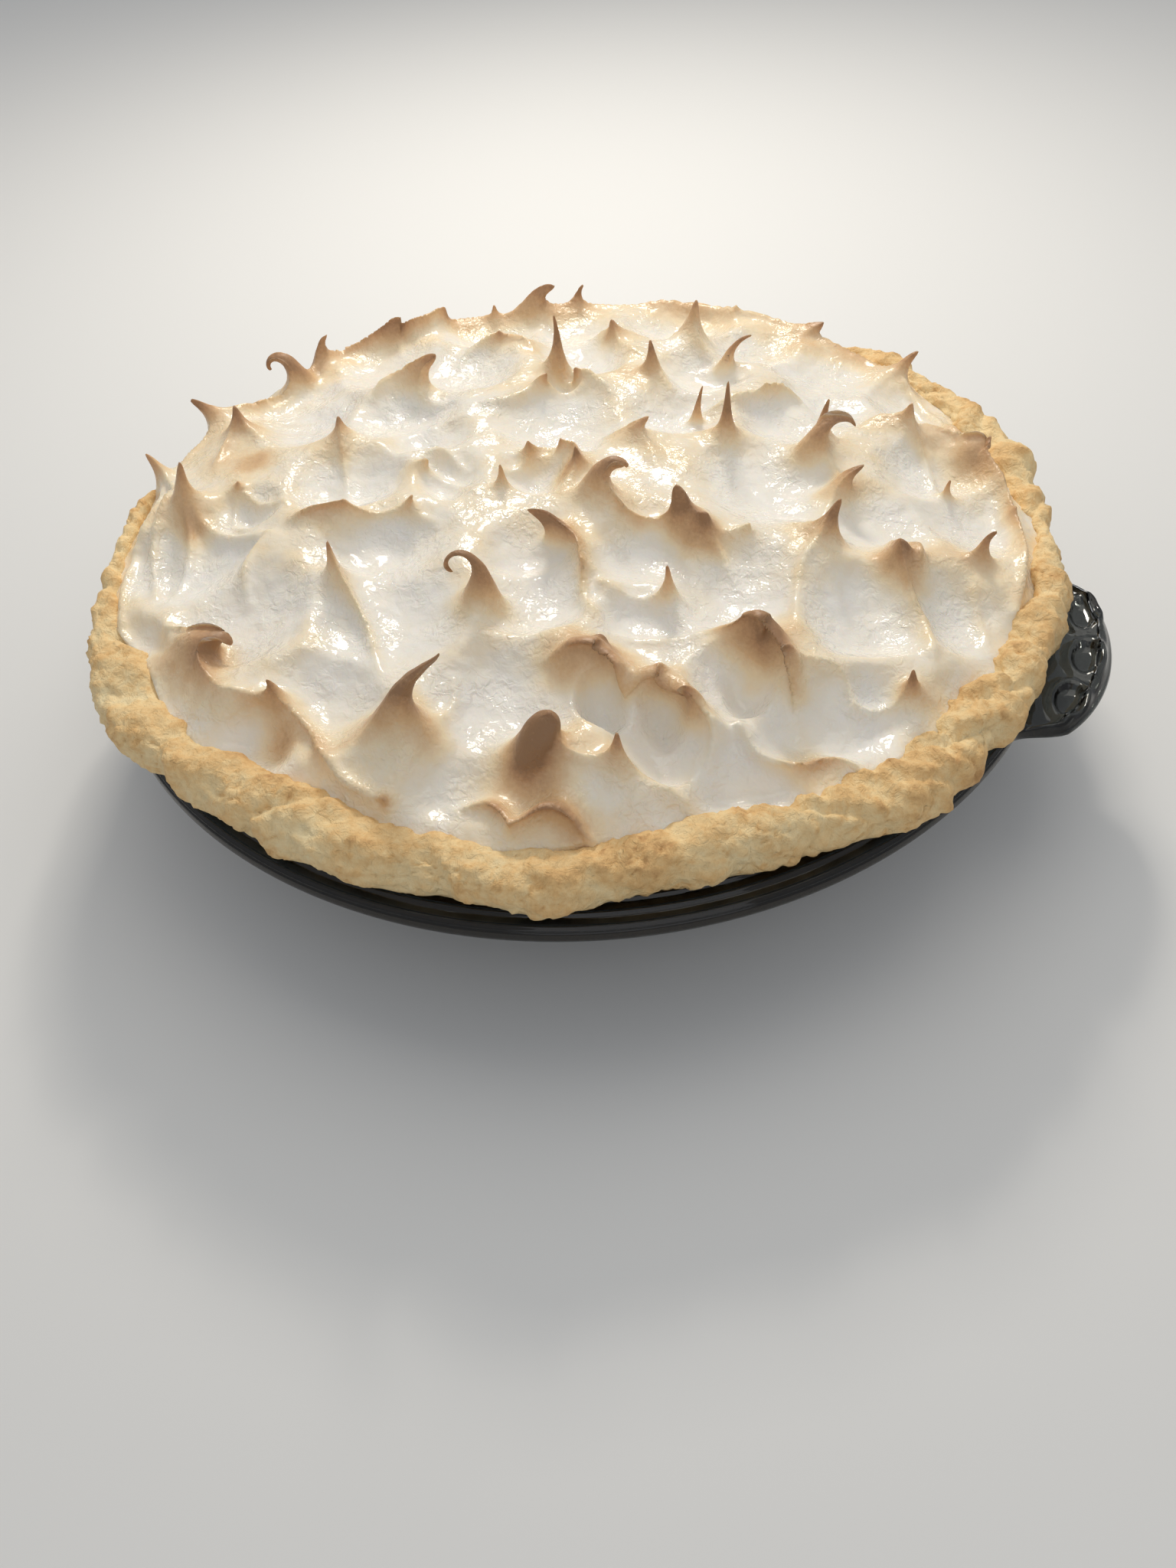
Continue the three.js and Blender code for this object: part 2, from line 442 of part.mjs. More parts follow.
// The axis of something of unit height that curls over: how far out and up it has gone and how
// far it has tilted, as a function of the level along it
function bend(curl, lateness = CURL_LATENESS + CURL_LATENESS_PER_DEGREE * Math.abs(curl)) {
  const tilt = (level) => radians(curl) * level ** lateness;
  const axis = [[0, 0]];
  for (let step = 1; step <= BEND_STEPS; step++) {
    const [out, up] = axis[step - 1];
    const turn = tilt((step - 0.5) / BEND_STEPS);
    axis.push([out + Math.sin(turn) / BEND_STEPS, up + Math.cos(turn) / BEND_STEPS]);
  }
  return (level) => {
    const step = Math.min(Math.floor(level * BEND_STEPS), BEND_STEPS - 1);
    const share = level * BEND_STEPS - step;
    const [[out, up], [nextOut, nextUp]] = [axis[step], axis[step + 1]];
    return [THREE.MathUtils.lerp(out, nextOut, share), THREE.MathUtils.lerp(up, nextUp, share), tilt(level)];
  };
}

const placeOf = (end) => (typeof end === 'string' ? PEAKS[end].slice(0, 2) : end);

// One ridge, as a function of the plan that gives its crest there, its level, and its shift
function ridgeShape([startEnd, endEnd, bow, [first, middle, last], curl]) {
  const start = new THREE.Vector2(...placeOf(startEnd));
  const run = new THREE.Vector2(...placeOf(endEnd)).sub(start);
  const length = run.length();
  const along = run.clone().normalize();
  const aside = new THREE.Vector2(-along.y, along.x);
  const bent = bend(curl);
  return (x, y) => {
    const from = new THREE.Vector2(x, y).sub(start);
    const share = from.dot(along) / length;
    const inside = clamp(share, 0, 1);
    const off = from.dot(aside) - bow * Math.sin(Math.PI * inside);
    const away = Math.hypot(off, (share - inside) * length);
    if (away > RIDGE_FOOT * RIDGE_WIDTH) return null;
    const level = Math.exp(-away / RIDGE_WIDTH);
    const atFirst = first * (1 - inside) * (1 - 2 * inside);
    const atMiddle = middle * 4 * inside * (1 - inside);
    const atLast = last * inside * (2 * inside - 1);
    const crest = Math.max(atFirst + atMiddle + atLast, 0);
    const [out, up, tilt] = bent(level);
    const sideways = crest * out + off * level * (Math.cos(tilt) - 1);
    const upward = crest * up - off * level * Math.sin(tilt);
    return { reached: crest * level, shift: [sideways * aside.x, sideways * aside.y, upward] };
  };
}

const ridgeShapes = RIDGES.map(ridgeShape);

// How far the ridges move a point, blended where they meet, and how high they reach there
function ridgeShift(x, y) {
  const near = ridgeShapes.map((shape) => shape(x, y)).filter((ridge) => ridge?.reached > 0);
  const total = near.reduce((sum, { reached }) => sum + reached ** 4, 0);
  if (total < 1e-9) return { shift: [0, 0, 0], crest: 0 };
  const blended = [0, 1, 2].map((axis) =>
    near.reduce((sum, { reached, shift }) => sum + reached ** 3 * shift[axis], 0) / total ** 0.75);
  return { shift: blended, crest: total ** 0.25 };
}

// The level that a peak with a flared foot and a narrow core reaches at a distance from its axis
function levelAt(girth, core, distance) {
  let [low, high] = [1e-4, 1];
  for (let step = 0; step < 16; step++) {
    const level = (low + high) / 2;
    const radius = Math.hypot(girth * Math.log(level), core * Math.sqrt(1 - level ** 6));
    if (radius > distance) low = level;
    else high = level;
  }
  return distance === 0 ? 1 : low;
}

// One peak, as a function of the plan that gives its shift there
function peakShape([name, [px, py, height, girth, spread, toward, drawn, curl]]) {
  const rise = Math.max(height - ridgeShift(px, py).crest, LEAST_RISE);
  const lean = radians(toward);
  const core = CORES[name] ?? CORE_SHARE * girth;
  const bent = bend(curl, HORNS[name]);
  return (x, y) => {
    const [dx, dy] = [x - px, y - py];
    if (Math.hypot(dx, dy) > PEAK_FOOT * girth * spread) return null;
    const a = dx * Math.cos(lean) + dy * Math.sin(lean);
    const b = dy * Math.cos(lean) - dx * Math.sin(lean);
    let level = 0;
    for (let step = 0; step < 6; step++) {
      level = levelAt(girth, core, Math.hypot(a / (1 + (spread - 1) * (1 - level) ** 2), b));
    }
    const [out, up, tilt] = bent(level);
    const sideways = rise * out + drawn * level + a * (Math.cos(tilt) - 1);
    return [sideways * Math.cos(lean), sideways * Math.sin(lean), rise * up - a * Math.sin(tilt)];
  };
}

const peakShapes = Object.entries(PEAKS).map(peakShape);

// The finished surface over a point of the plan
function meringueSurface(x, y) {
  const { shift } = ridgeShift(x, y);
  const point = new THREE.Vector3(x, y, domeHeight(x, y)).add(new THREE.Vector3(...shift));
  for (const shape of peakShapes) {
    const pulled = shape(x, y);
    if (pulled) point.add(new THREE.Vector3(...pulled));
  }
  return point;
}

// ---------------------------------------------------------------- mesh of the meringue

// The body before it is shaped, its top flat at the height of the edge
function blankSection(azimuth) {
  const reach = meringueReach(azimuth);
  const bed = CRUST_BED + FIT_GAP;
  return [[0, bed], [reach - 3, bed], [reach, MERINGUE_EDGE - 1], [reach, MERINGUE_EDGE], [0, MERINGUE_EDGE]];
}

const reachAt = (x, y) => meringueReach(Math.atan2(y, x));

// Triangles between points of the plan, from the hull of the points raised onto a paraboloid. The
// plan is measured as a share of the reach, which makes its outline a circle.
function triangulated(points) {
  const raised = points.map(([x, y]) => {
    const [u, v] = [x / reachAt(x, y), y / reachAt(x, y)];
    return new THREE.Vector3(u, v, u * u + v * v);
  });
  const number = new Map(raised.map((point, k) => [point, k]));
  const under = new ConvexHull().setFromPoints(raised).faces.filter((face) => face.normal.z < 0);
  return under.map((face) => [face.getEdge(2), face.getEdge(1), face.getEdge(0)]
    .map((edge) => number.get(edge.head().point)));
}

// First points: a staggered grid, the crests of the ridges and the feet of the tips
function firstPoints() {
  const grid = [];
  const rows = Math.ceil(MERINGUE_REACH[0][1] / GRID_STEP);
  for (let row = -rows; row <= rows; row++) {
    for (let column = -rows; column <= rows; column++) {
      grid.push([(column + (row % 2) / 2) * GRID_STEP, row * GRID_STEP * Math.cos(Math.PI / 6)]);
    }
  }
  const crests = RIDGES.flatMap(([startEnd, endEnd, bow]) => {
    const start = new THREE.Vector2(...placeOf(startEnd));
    const run = new THREE.Vector2(...placeOf(endEnd)).sub(start);
    const aside = new THREE.Vector2(-run.y, run.x).normalize();
    const steps = Math.ceil(run.length() / CREST_STEP);
    return Array.from({ length: steps + 1 }, (_, step) => {
      const share = step / steps;
      const place = start.clone().addScaledVector(run, share);
      return place.addScaledVector(aside, bow * Math.sin(Math.PI * share)).toArray();
    });
  });
  const tips = Object.values(PEAKS).map(([x, y]) => [x, y]);
  return spacedOut([...tips, ...crests, ...grid], CREST_STEP / 2);
}

// The points that keep a distance from all the points before them
function spacedOut(points, distance) {
  const kept = [];
  for (const [x, y] of points) {
    const clear = Math.hypot(x, y) < RIM_KEPT_CLEAR * reachAt(x, y);
    const apart = ([keptX, keptY]) => Math.hypot(x - keptX, y - keptY) > distance;
    if (clear && kept.every(apart)) kept.push([x, y]);
  }
  return kept;
}

// Where in a facet the finished surface departs from it most
function worstPlace(plan, shaped, corners) {
  const facet = new THREE.Triangle(...corners.map((corner) => shaped[corner]));
  if (facet.getArea() < LEAST_EDGE ** 2 / 2) return null;
  const nearest = new THREE.Vector3();
  const places = [[1, 1, 0], [0, 1, 1], [1, 0, 1], [1, 1, 1]].map((weights) => {
    const sum = weights.reduce((a, b) => a + b);
    const mean = (axis) => corners.reduce((at, corner, k) => at + weights[k] * plan[corner][axis], 0) / sum;
    const [x, y] = [mean(0), mean(1)];
    const point = meringueSurface(x, y);
    facet.closestPointToPoint(point, nearest);
    return { x, y, error: nearest.distanceTo(point) };
  });
  return places.reduce((worst, place) => (place.error > worst.error ? place : worst));
}

// The plan with points added where its facets depart most from the finished surface
function refined(rim) {
  const plan = [...rim, ...firstPoints()];
  const shaped = plan.map(([x, y]) => meringueSurface(x, y));
  for (let round = 1; round <= SPLIT_ROUNDS; round++) {
    const faces = triangulated(plan);
    const places = faces.map((corners) => worstPlace(plan, shaped, corners));
    const wanted = places.filter((place) => place?.error > FACET_ERROR).sort((a, b) => b.error - a.error);
    const room = (FACET_LIMIT / 2 - plan.length) / (SPLIT_ROUNDS + 1 - round);
    const added = spacedOut(wanted.map(({ x, y }) => [x, y]), LEAST_EDGE / 2).slice(0, room);
    plan.push(...added);
    shaped.push(...added.map(([x, y]) => meringueSurface(x, y)));
  }
  return { shaped, faces: triangulated(plan) };
}

function makeMeringue() {
  const { position, index } = welded(turnedSections(blankSection, PIE_SEGMENTS));
  const corner = (k) => position.slice(3 * k, 3 * k + 3);
  const onTop = (k) => corner(k)[2] === MERINGUE_EDGE;
  const count = position.length / 3;
  const offAxis = (k) => Math.hypot(...corner(k).slice(0, 2)) > 1;
  const rim = Array.from({ length: count }, (_, k) => k).filter((k) => onTop(k) && offAxis(k));
  const sides = [];
  for (let i = 0; i < index.length; i += 3) {
    const face = index.slice(i, i + 3);
    if (!face.every(onTop)) sides.push(...face);
  }
  const { shaped, faces } = refined(rim.map((k) => corner(k).slice(0, 2)));
  const number = (k) => (k < rim.length ? rim[k] : count + k - rim.length);
  shaped.forEach((point, k) => position.splice(3 * number(k), 3, ...point.toArray()));
  const clearance = solidOf(turnedSections((azimuth) => crustSection(azimuth, FIT_GAP * 0.9), PIE_SEGMENTS));
  const whole = toSolid({ position, index: [...sides, ...faces.flat().map(number)] });
  return largestPart(whole.subtract(clearance));
}

// ---------------------------------------------------------------- the pie

const glass = new THREE.MeshStandardMaterial({ color: 0x4d524f, roughness: 0.05, metalness: 0 });
const pastry = new THREE.MeshStandardMaterial({ color: 0xd9b37c, roughness: 0.8, metalness: 0 });
const toasted = new THREE.MeshStandardMaterial({ color: 0xf0e2cc, roughness: 0.35, metalness: 0 });

const pie = new THREE.Group();
pie.add(toMesh(makeDish(), 'pie_dish', glass));
pie.add(toMesh(makeCrust(), 'crust', pastry));
pie.add(toMesh(makeMeringue(), 'meringue', toasted));

export default pie;
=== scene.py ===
"""A whole lemon meringue pie in its glass pie dish, the glass tinted dark as painted shade: the finish, the
camera and the light.
"""
import math

import bpy
import numpy as np
from mathutils import Matrix, Vector


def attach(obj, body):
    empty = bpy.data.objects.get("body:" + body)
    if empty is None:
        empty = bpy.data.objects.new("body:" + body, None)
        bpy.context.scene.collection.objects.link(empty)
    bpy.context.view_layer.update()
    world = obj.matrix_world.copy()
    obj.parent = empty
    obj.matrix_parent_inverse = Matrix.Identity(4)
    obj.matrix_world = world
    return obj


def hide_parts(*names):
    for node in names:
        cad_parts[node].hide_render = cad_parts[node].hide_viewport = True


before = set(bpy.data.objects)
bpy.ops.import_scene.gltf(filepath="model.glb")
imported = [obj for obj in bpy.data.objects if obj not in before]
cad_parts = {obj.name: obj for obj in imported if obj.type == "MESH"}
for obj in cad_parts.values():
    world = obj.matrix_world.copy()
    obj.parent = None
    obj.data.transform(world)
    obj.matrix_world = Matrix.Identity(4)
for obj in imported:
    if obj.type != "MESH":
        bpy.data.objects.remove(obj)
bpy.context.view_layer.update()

MM = 0.001

# ---------------------------------------------------------------- driving sizes, in millimetres

# Glass dish
DISH_RADIUS = 130.0
DISH_HEIGHT = 44.0
DISH_MOUTH_RADIUS = 118.0
DISH_FLOOR_RADIUS = 92.0
GLASS = 4.0
FLANGE_RIDGES = (121.0, 124.5, 128.0)
FLANGE_RIDGE_HEIGHT = 0.8
FLANGE_RIDGE_HALF_WIDTH = 1.1
HANDLE_REACH = 146.0
HANDLE_HALF_WIDTH = 33.0
HANDLE_ROOT = 125.5  # the flange is drawn out into the handle from this radius
HANDLE_RIM = 1.3
THUMB_CELLS = 3
THUMB_CELL_REACH = 138.5
THUMB_CELL_SPACING = 17.0
THUMB_CELL_OUT = 4.2
THUMB_CELL_ALONG = 7.0

# Pastry case
CRUST_BED = 47.0
CRUST_UNDERSIDE = DISH_HEIGHT + FLANGE_RIDGE_HEIGHT
SUNK_IN_GLASS = 0.35  # how far the pastry reaches into the wall, so that no air shows between

# Meringue
MERINGUE_EDGE = 54.0
MERINGUE_CROWN = 13.0
DOME_FLATNESS = 4.0  # power of the dome curve
RIM_CAP = 2.5  # the rims between hollows rise no higher than this above the dome
RIM_SOFTNESS = 0.7
RIDGE_WIDTH = 1.9
CORE_SHARE = 0.42  # radius of a peak's core over its girth
CURL_LATENESS = 2.0  # how late a slight curl sets in on the way to a tip
CURL_LATENESS_PER_DEGREE = 0.004  # and how much later a stronger one does

# Uneven edges: (azimuth in degrees, radius), and the height of the rolled rim: (azimuth, height)
CRUST_REACH = (
    (-166, 127.5), (-158, 128), (-150, 130), (-143, 133.5), (-134, 134.5), (-125, 132), (-116, 130),
    (-100, 127.5), (-88, 126), (-76, 127.5), (-60, 122.5), (-46, 125), (-33, 128.5), (-15, 130),
    (10, 130), (26, 131.5), (35, 133.5), (44, 131), (52, 133), (62, 132.5), (70, 129), (100, 126),
    (130, 125.5), (160, 127), (178, 129),
)
CRUST_CROWN = (
    (-168, 56), (-140, 57), (-90, 57), (-60, 56), (-30, 57), (30, 57), (60, 56), (70, 53.5), (80, 50),
    (100, 49.5), (160, 49.5), (178, 52.5),
)
MERINGUE_REACH = (
    (-170, 126), (-156, 125.5), (-144, 124.5), (-134, 120), (-120, 119.5), (-108, 115), (-98, 113),
    (-84, 115.5), (-71, 113), (-57, 111), (-45, 116.5), (-34, 115), (-20, 117.5), (-5, 121), (16, 124),
    (40, 122), (60, 122.5), (76, 124), (92, 124), (110, 122.5), (134, 122), (156, 123.5), (175, 125.5),
)
# Hollows pressed by the back of a spoon: (x, y, radius, depth). They meet in sharp rims.
HOLLOWS = (
    (-104, 30, 16, 4), (-84, 52, 17, 4), (-58, 82, 14, 4), (-34, 86, 13, 4), (-4, 102, 14, 4),
    (24, 92, 13, 4), (50, 86, 15, 4), (78, 82, 14, 4), (104, 26, 14, 4), (104, -14, 12, 4),
    (94, -54, 12, 4), (-110, -62, 11, 4), (-86, -90, 12, 5), (-40, -106, 11, 5), (16, -98, 14, 4.5),
    (74, -80, 12, 4), (-90, 16, 15, 4.5), (-58, 50, 15, 4), (-24, 70, 13, 4), (16, 68, 11, 3.5),
    (54, 66, 13, 4), (88, 42, 13, 4), (-86, -52, 17, 5), (-62, -70, 17, 4.5), (-28, -90, 14, 5),
    (12, -80, 17, 5), (-62, 22, 14, 4), (-62, -16, 14, 5), (-47, 9, 9, 3), (-12, 3, 9, 4.5),
    (-14, 28, 16, 4), (14, 44, 12, 3.5), (46, 50, 13, 4), (52, 18, 18, 4.5), (82, 12, 14, 4),
    (84, -22, 14, 5), (-38, -40, 15, 4.5), (-24, -62, 19, 5), (10, -44, 14, 4.5), (28, -22, 13, 4),
    (50, -28, 17, 5), (38, -48, 15, 4.5), (50, -76, 11, 5), (62, -56, 10, 4.5), (84, -60, 13, 4.5),
    (-34, -8, 8, 3), (68, -83, 6, 4), (-23, 50, 5, 4), (-84, -32, 8, 4), (0, -28, 12, 4),
    (37, -74, 7.5, 8), (50, -71, 7, 8), (66, -54, 8, 8), (-44, -108, 7, 6),
)

# Pulled peaks: (x, y, rise, girth, length of the foot along the lean over its width, azimuth of
# the lean, how far the tip is drawn that way, curl of the tip in degrees)
PEAKS = {
    "leftTip": (-121, 10, 11, 1.6, 1.5, 201, 6, 40),
    "leftEdge": (-119, -22, 12, 1.8, 1.6, 201, 2, 35),
    "tallFin": (-102, -36, 16, 2.9, 1.6, 21, 2, 15),
    "shortFin": (-109, 2, 10, 3.0, 1.8, 201, -2, 25),
    "ringHook": (-111, 40, 24, 1.8, 1.5, 201, 0, 235),
    "backLeft": (-110, 54, 15, 2.3, 1.5, 21, -1, 80),
    "backFold": (-93, 73, 10, 3.6, 1.8, 21, 2, 110),
    "backFin": (-80, 85, 8, 3.4, 1.8, 21, 0, 60),
    "backPip": (-66, 94, 6, 1.2, 1.3, 111, 0, 10),
    "backHook": (-54, 99, 14.5, 2.8, 1.9, 21, 3, 130),
    "backThorn": (-41, 107, 9, 1.1, 1.2, 21, 1, 60),
    "willow": (-26, 54, 19, 1.5, 1.3, 201, -1, 14),
    "sharkFin": (-67, 36, 12, 2.3, 2.0, 21, 6, 90),
    "tentFlap": (-52, 69, 5, 2.4, 2.2, 21, 0, 20),
    "smallCurl": (-27, 42, 5, 1.7, 1.8, 21, 2, 80),
    "smallMate": (-18, 51, 6, 1.5, 1.4, 201, 1, 30),
    "leftCone": (-72, 2, 7, 2.2, 1.3, 111, 0, 10),
    "ringCurl": (-43, -6, 4, 1.7, 1.8, 21, 2, 70),
    "thornLeft": (-17, -9, 7.5, 1.2, 1.2, 201, -1, 18),
    "bowlLeft": (-17, 10, 5, 2.2, 1.8, 111, 0, 20),
    "bowlRight": (-8, 12, 5, 2.0, 1.8, 201, 0, 20),
    "bowlLip": (0, 4, 8, 2.6, 1.4, 201, 0, 35),
    "thornMid": (-38, -24, 6.5, 1.2, 1.3, 21, 2, 10),
    "leftPip": (-90, -27, 4, 1.3, 1.4, 201, -1, 50),
    "sabre": (-43, -54, 13, 1.6, 2.6, 130, 1, 10),
    "wave": (6, -21, 13, 2.4, 2.2, 201, 5, 130),
    "shepherd": (-3, -52, 28, 1.9, 1.4, 201, -3, 240),
    "leftFold": (-66, -83, 16, 3.3, 2.0, 21, 1, 190),
    "greatFin": (-9, -95, 29, 3.0, 1.9, 8, 10, 60),
    "frontPip": (-38, -93, 11, 2.2, 1.6, 201, 0, 15),
    "frontBlob": (-1, -111, 4, 2.0, 1.3, 21, 0, 40),
    "thumb": (26, -90, 16, 2.8, 1.6, 21, 2, 30),
    "frontThorn": (45, -88, 11, 1.7, 1.4, 111, 0, 8),
    "hood": (64, -44, 12, 3.0, 2.2, -40, 1, 100),
    "thornRight": (39, -35, 12, 1.4, 1.3, 201, 0, 12),
    "pinRight": (100, -42, 9, 1.5, 1.4, 201, 0, 15),
    "backMound": (-18, 81, 8, 2.8, 1.6, 201, 0, 30),
    "backCone": (2, 60, 11, 1.8, 1.3, 201, 0, 12),
    "broadPeak": (7, 88, 14, 2.7, 1.5, 21, -1, 20),
    "backSickle": (20, 74, 15, 1.5, 1.4, 21, 3, 80),
    "backCurl": (36, 111, 6, 2.4, 2.0, 21, 6, 90),
    "rightHorn": (69, 98, 11, 1.6, 1.4, 21, 4, 50),
    "rightCone": (79, 58, 9, 2.4, 1.6, 21, 0, 10),
    "needle": (33, 33, 16, 1.5, 1.2, 111, 0, 8),
    "needleSmall": (21, 43, 13, 1.1, 1.2, 21, 1, 12),
    "twinSpike": (58, 41, 14, 1.6, 1.3, 21, 0, 20),
    "twinHook": (58, 34, 24, 1.9, 1.6, 21, -2, 165),
    "rightCurl": (68, 20, 12, 2.2, 1.7, 21, 1, 95),
    "rightSickle": (71, -2, 14, 2.0, 1.5, 21, -1, 50),
    "doubleCurl": (8, 24, 7, 2.1, 1.8, 21, 4, 60),
    "bigHook": (10, -6, 21, 2.1, 1.4, 21, -2, 175),
    "bulb": (34, -9, 13, 2.1, 1.6, 201, 1, 15),
    "bulbPip": (41, -11, 7, 2.3, 1.8, -30, 0, 10),
    "pebble": (50, -8, 4, 1.5, 1.6, 21, 1, 30),
    "pinSmall": (95, 35, 7, 1.0, 1.2, 21, -1, 30),
    "rightHook": (108, 8, 11, 1.2, 1.3, 21, -1, 85),
    "rightFold": (90, -4, 7, 3.4, 2.3, -58, 0, 20),
    "scallopLeft": (29, -58, 6, 3.6, 2.4, 21, 1, 20),
    "scallopTip": (57, -68, 12, 2.1, 1.6, 201, 1, 70),
    "edgeLoop": (98, 56, 12, 2.4, 1.8, 21, 1, 190),
}

# Blunt peaks: the radius of the core just under the tip
CORES = {
    "thumb": 4.3, "bulb": 1.8, "bigHook": 1.9, "leftFold": 2.8, "hood": 2.2, "greatFin": 1.7,
    "backFold": 2.2, "edgeLoop": 2.4,
}

# Horns: how late the curl of these peaks sets in, where it does so sooner than usual
HORNS = {
    "ringHook": 1.9, "twinHook": 1.4, "rightCurl": 1.3, "edgeLoop": 1.6, "leftFold": 1.5,
    "backHook": 2.2, "bigHook": 1.8,
}

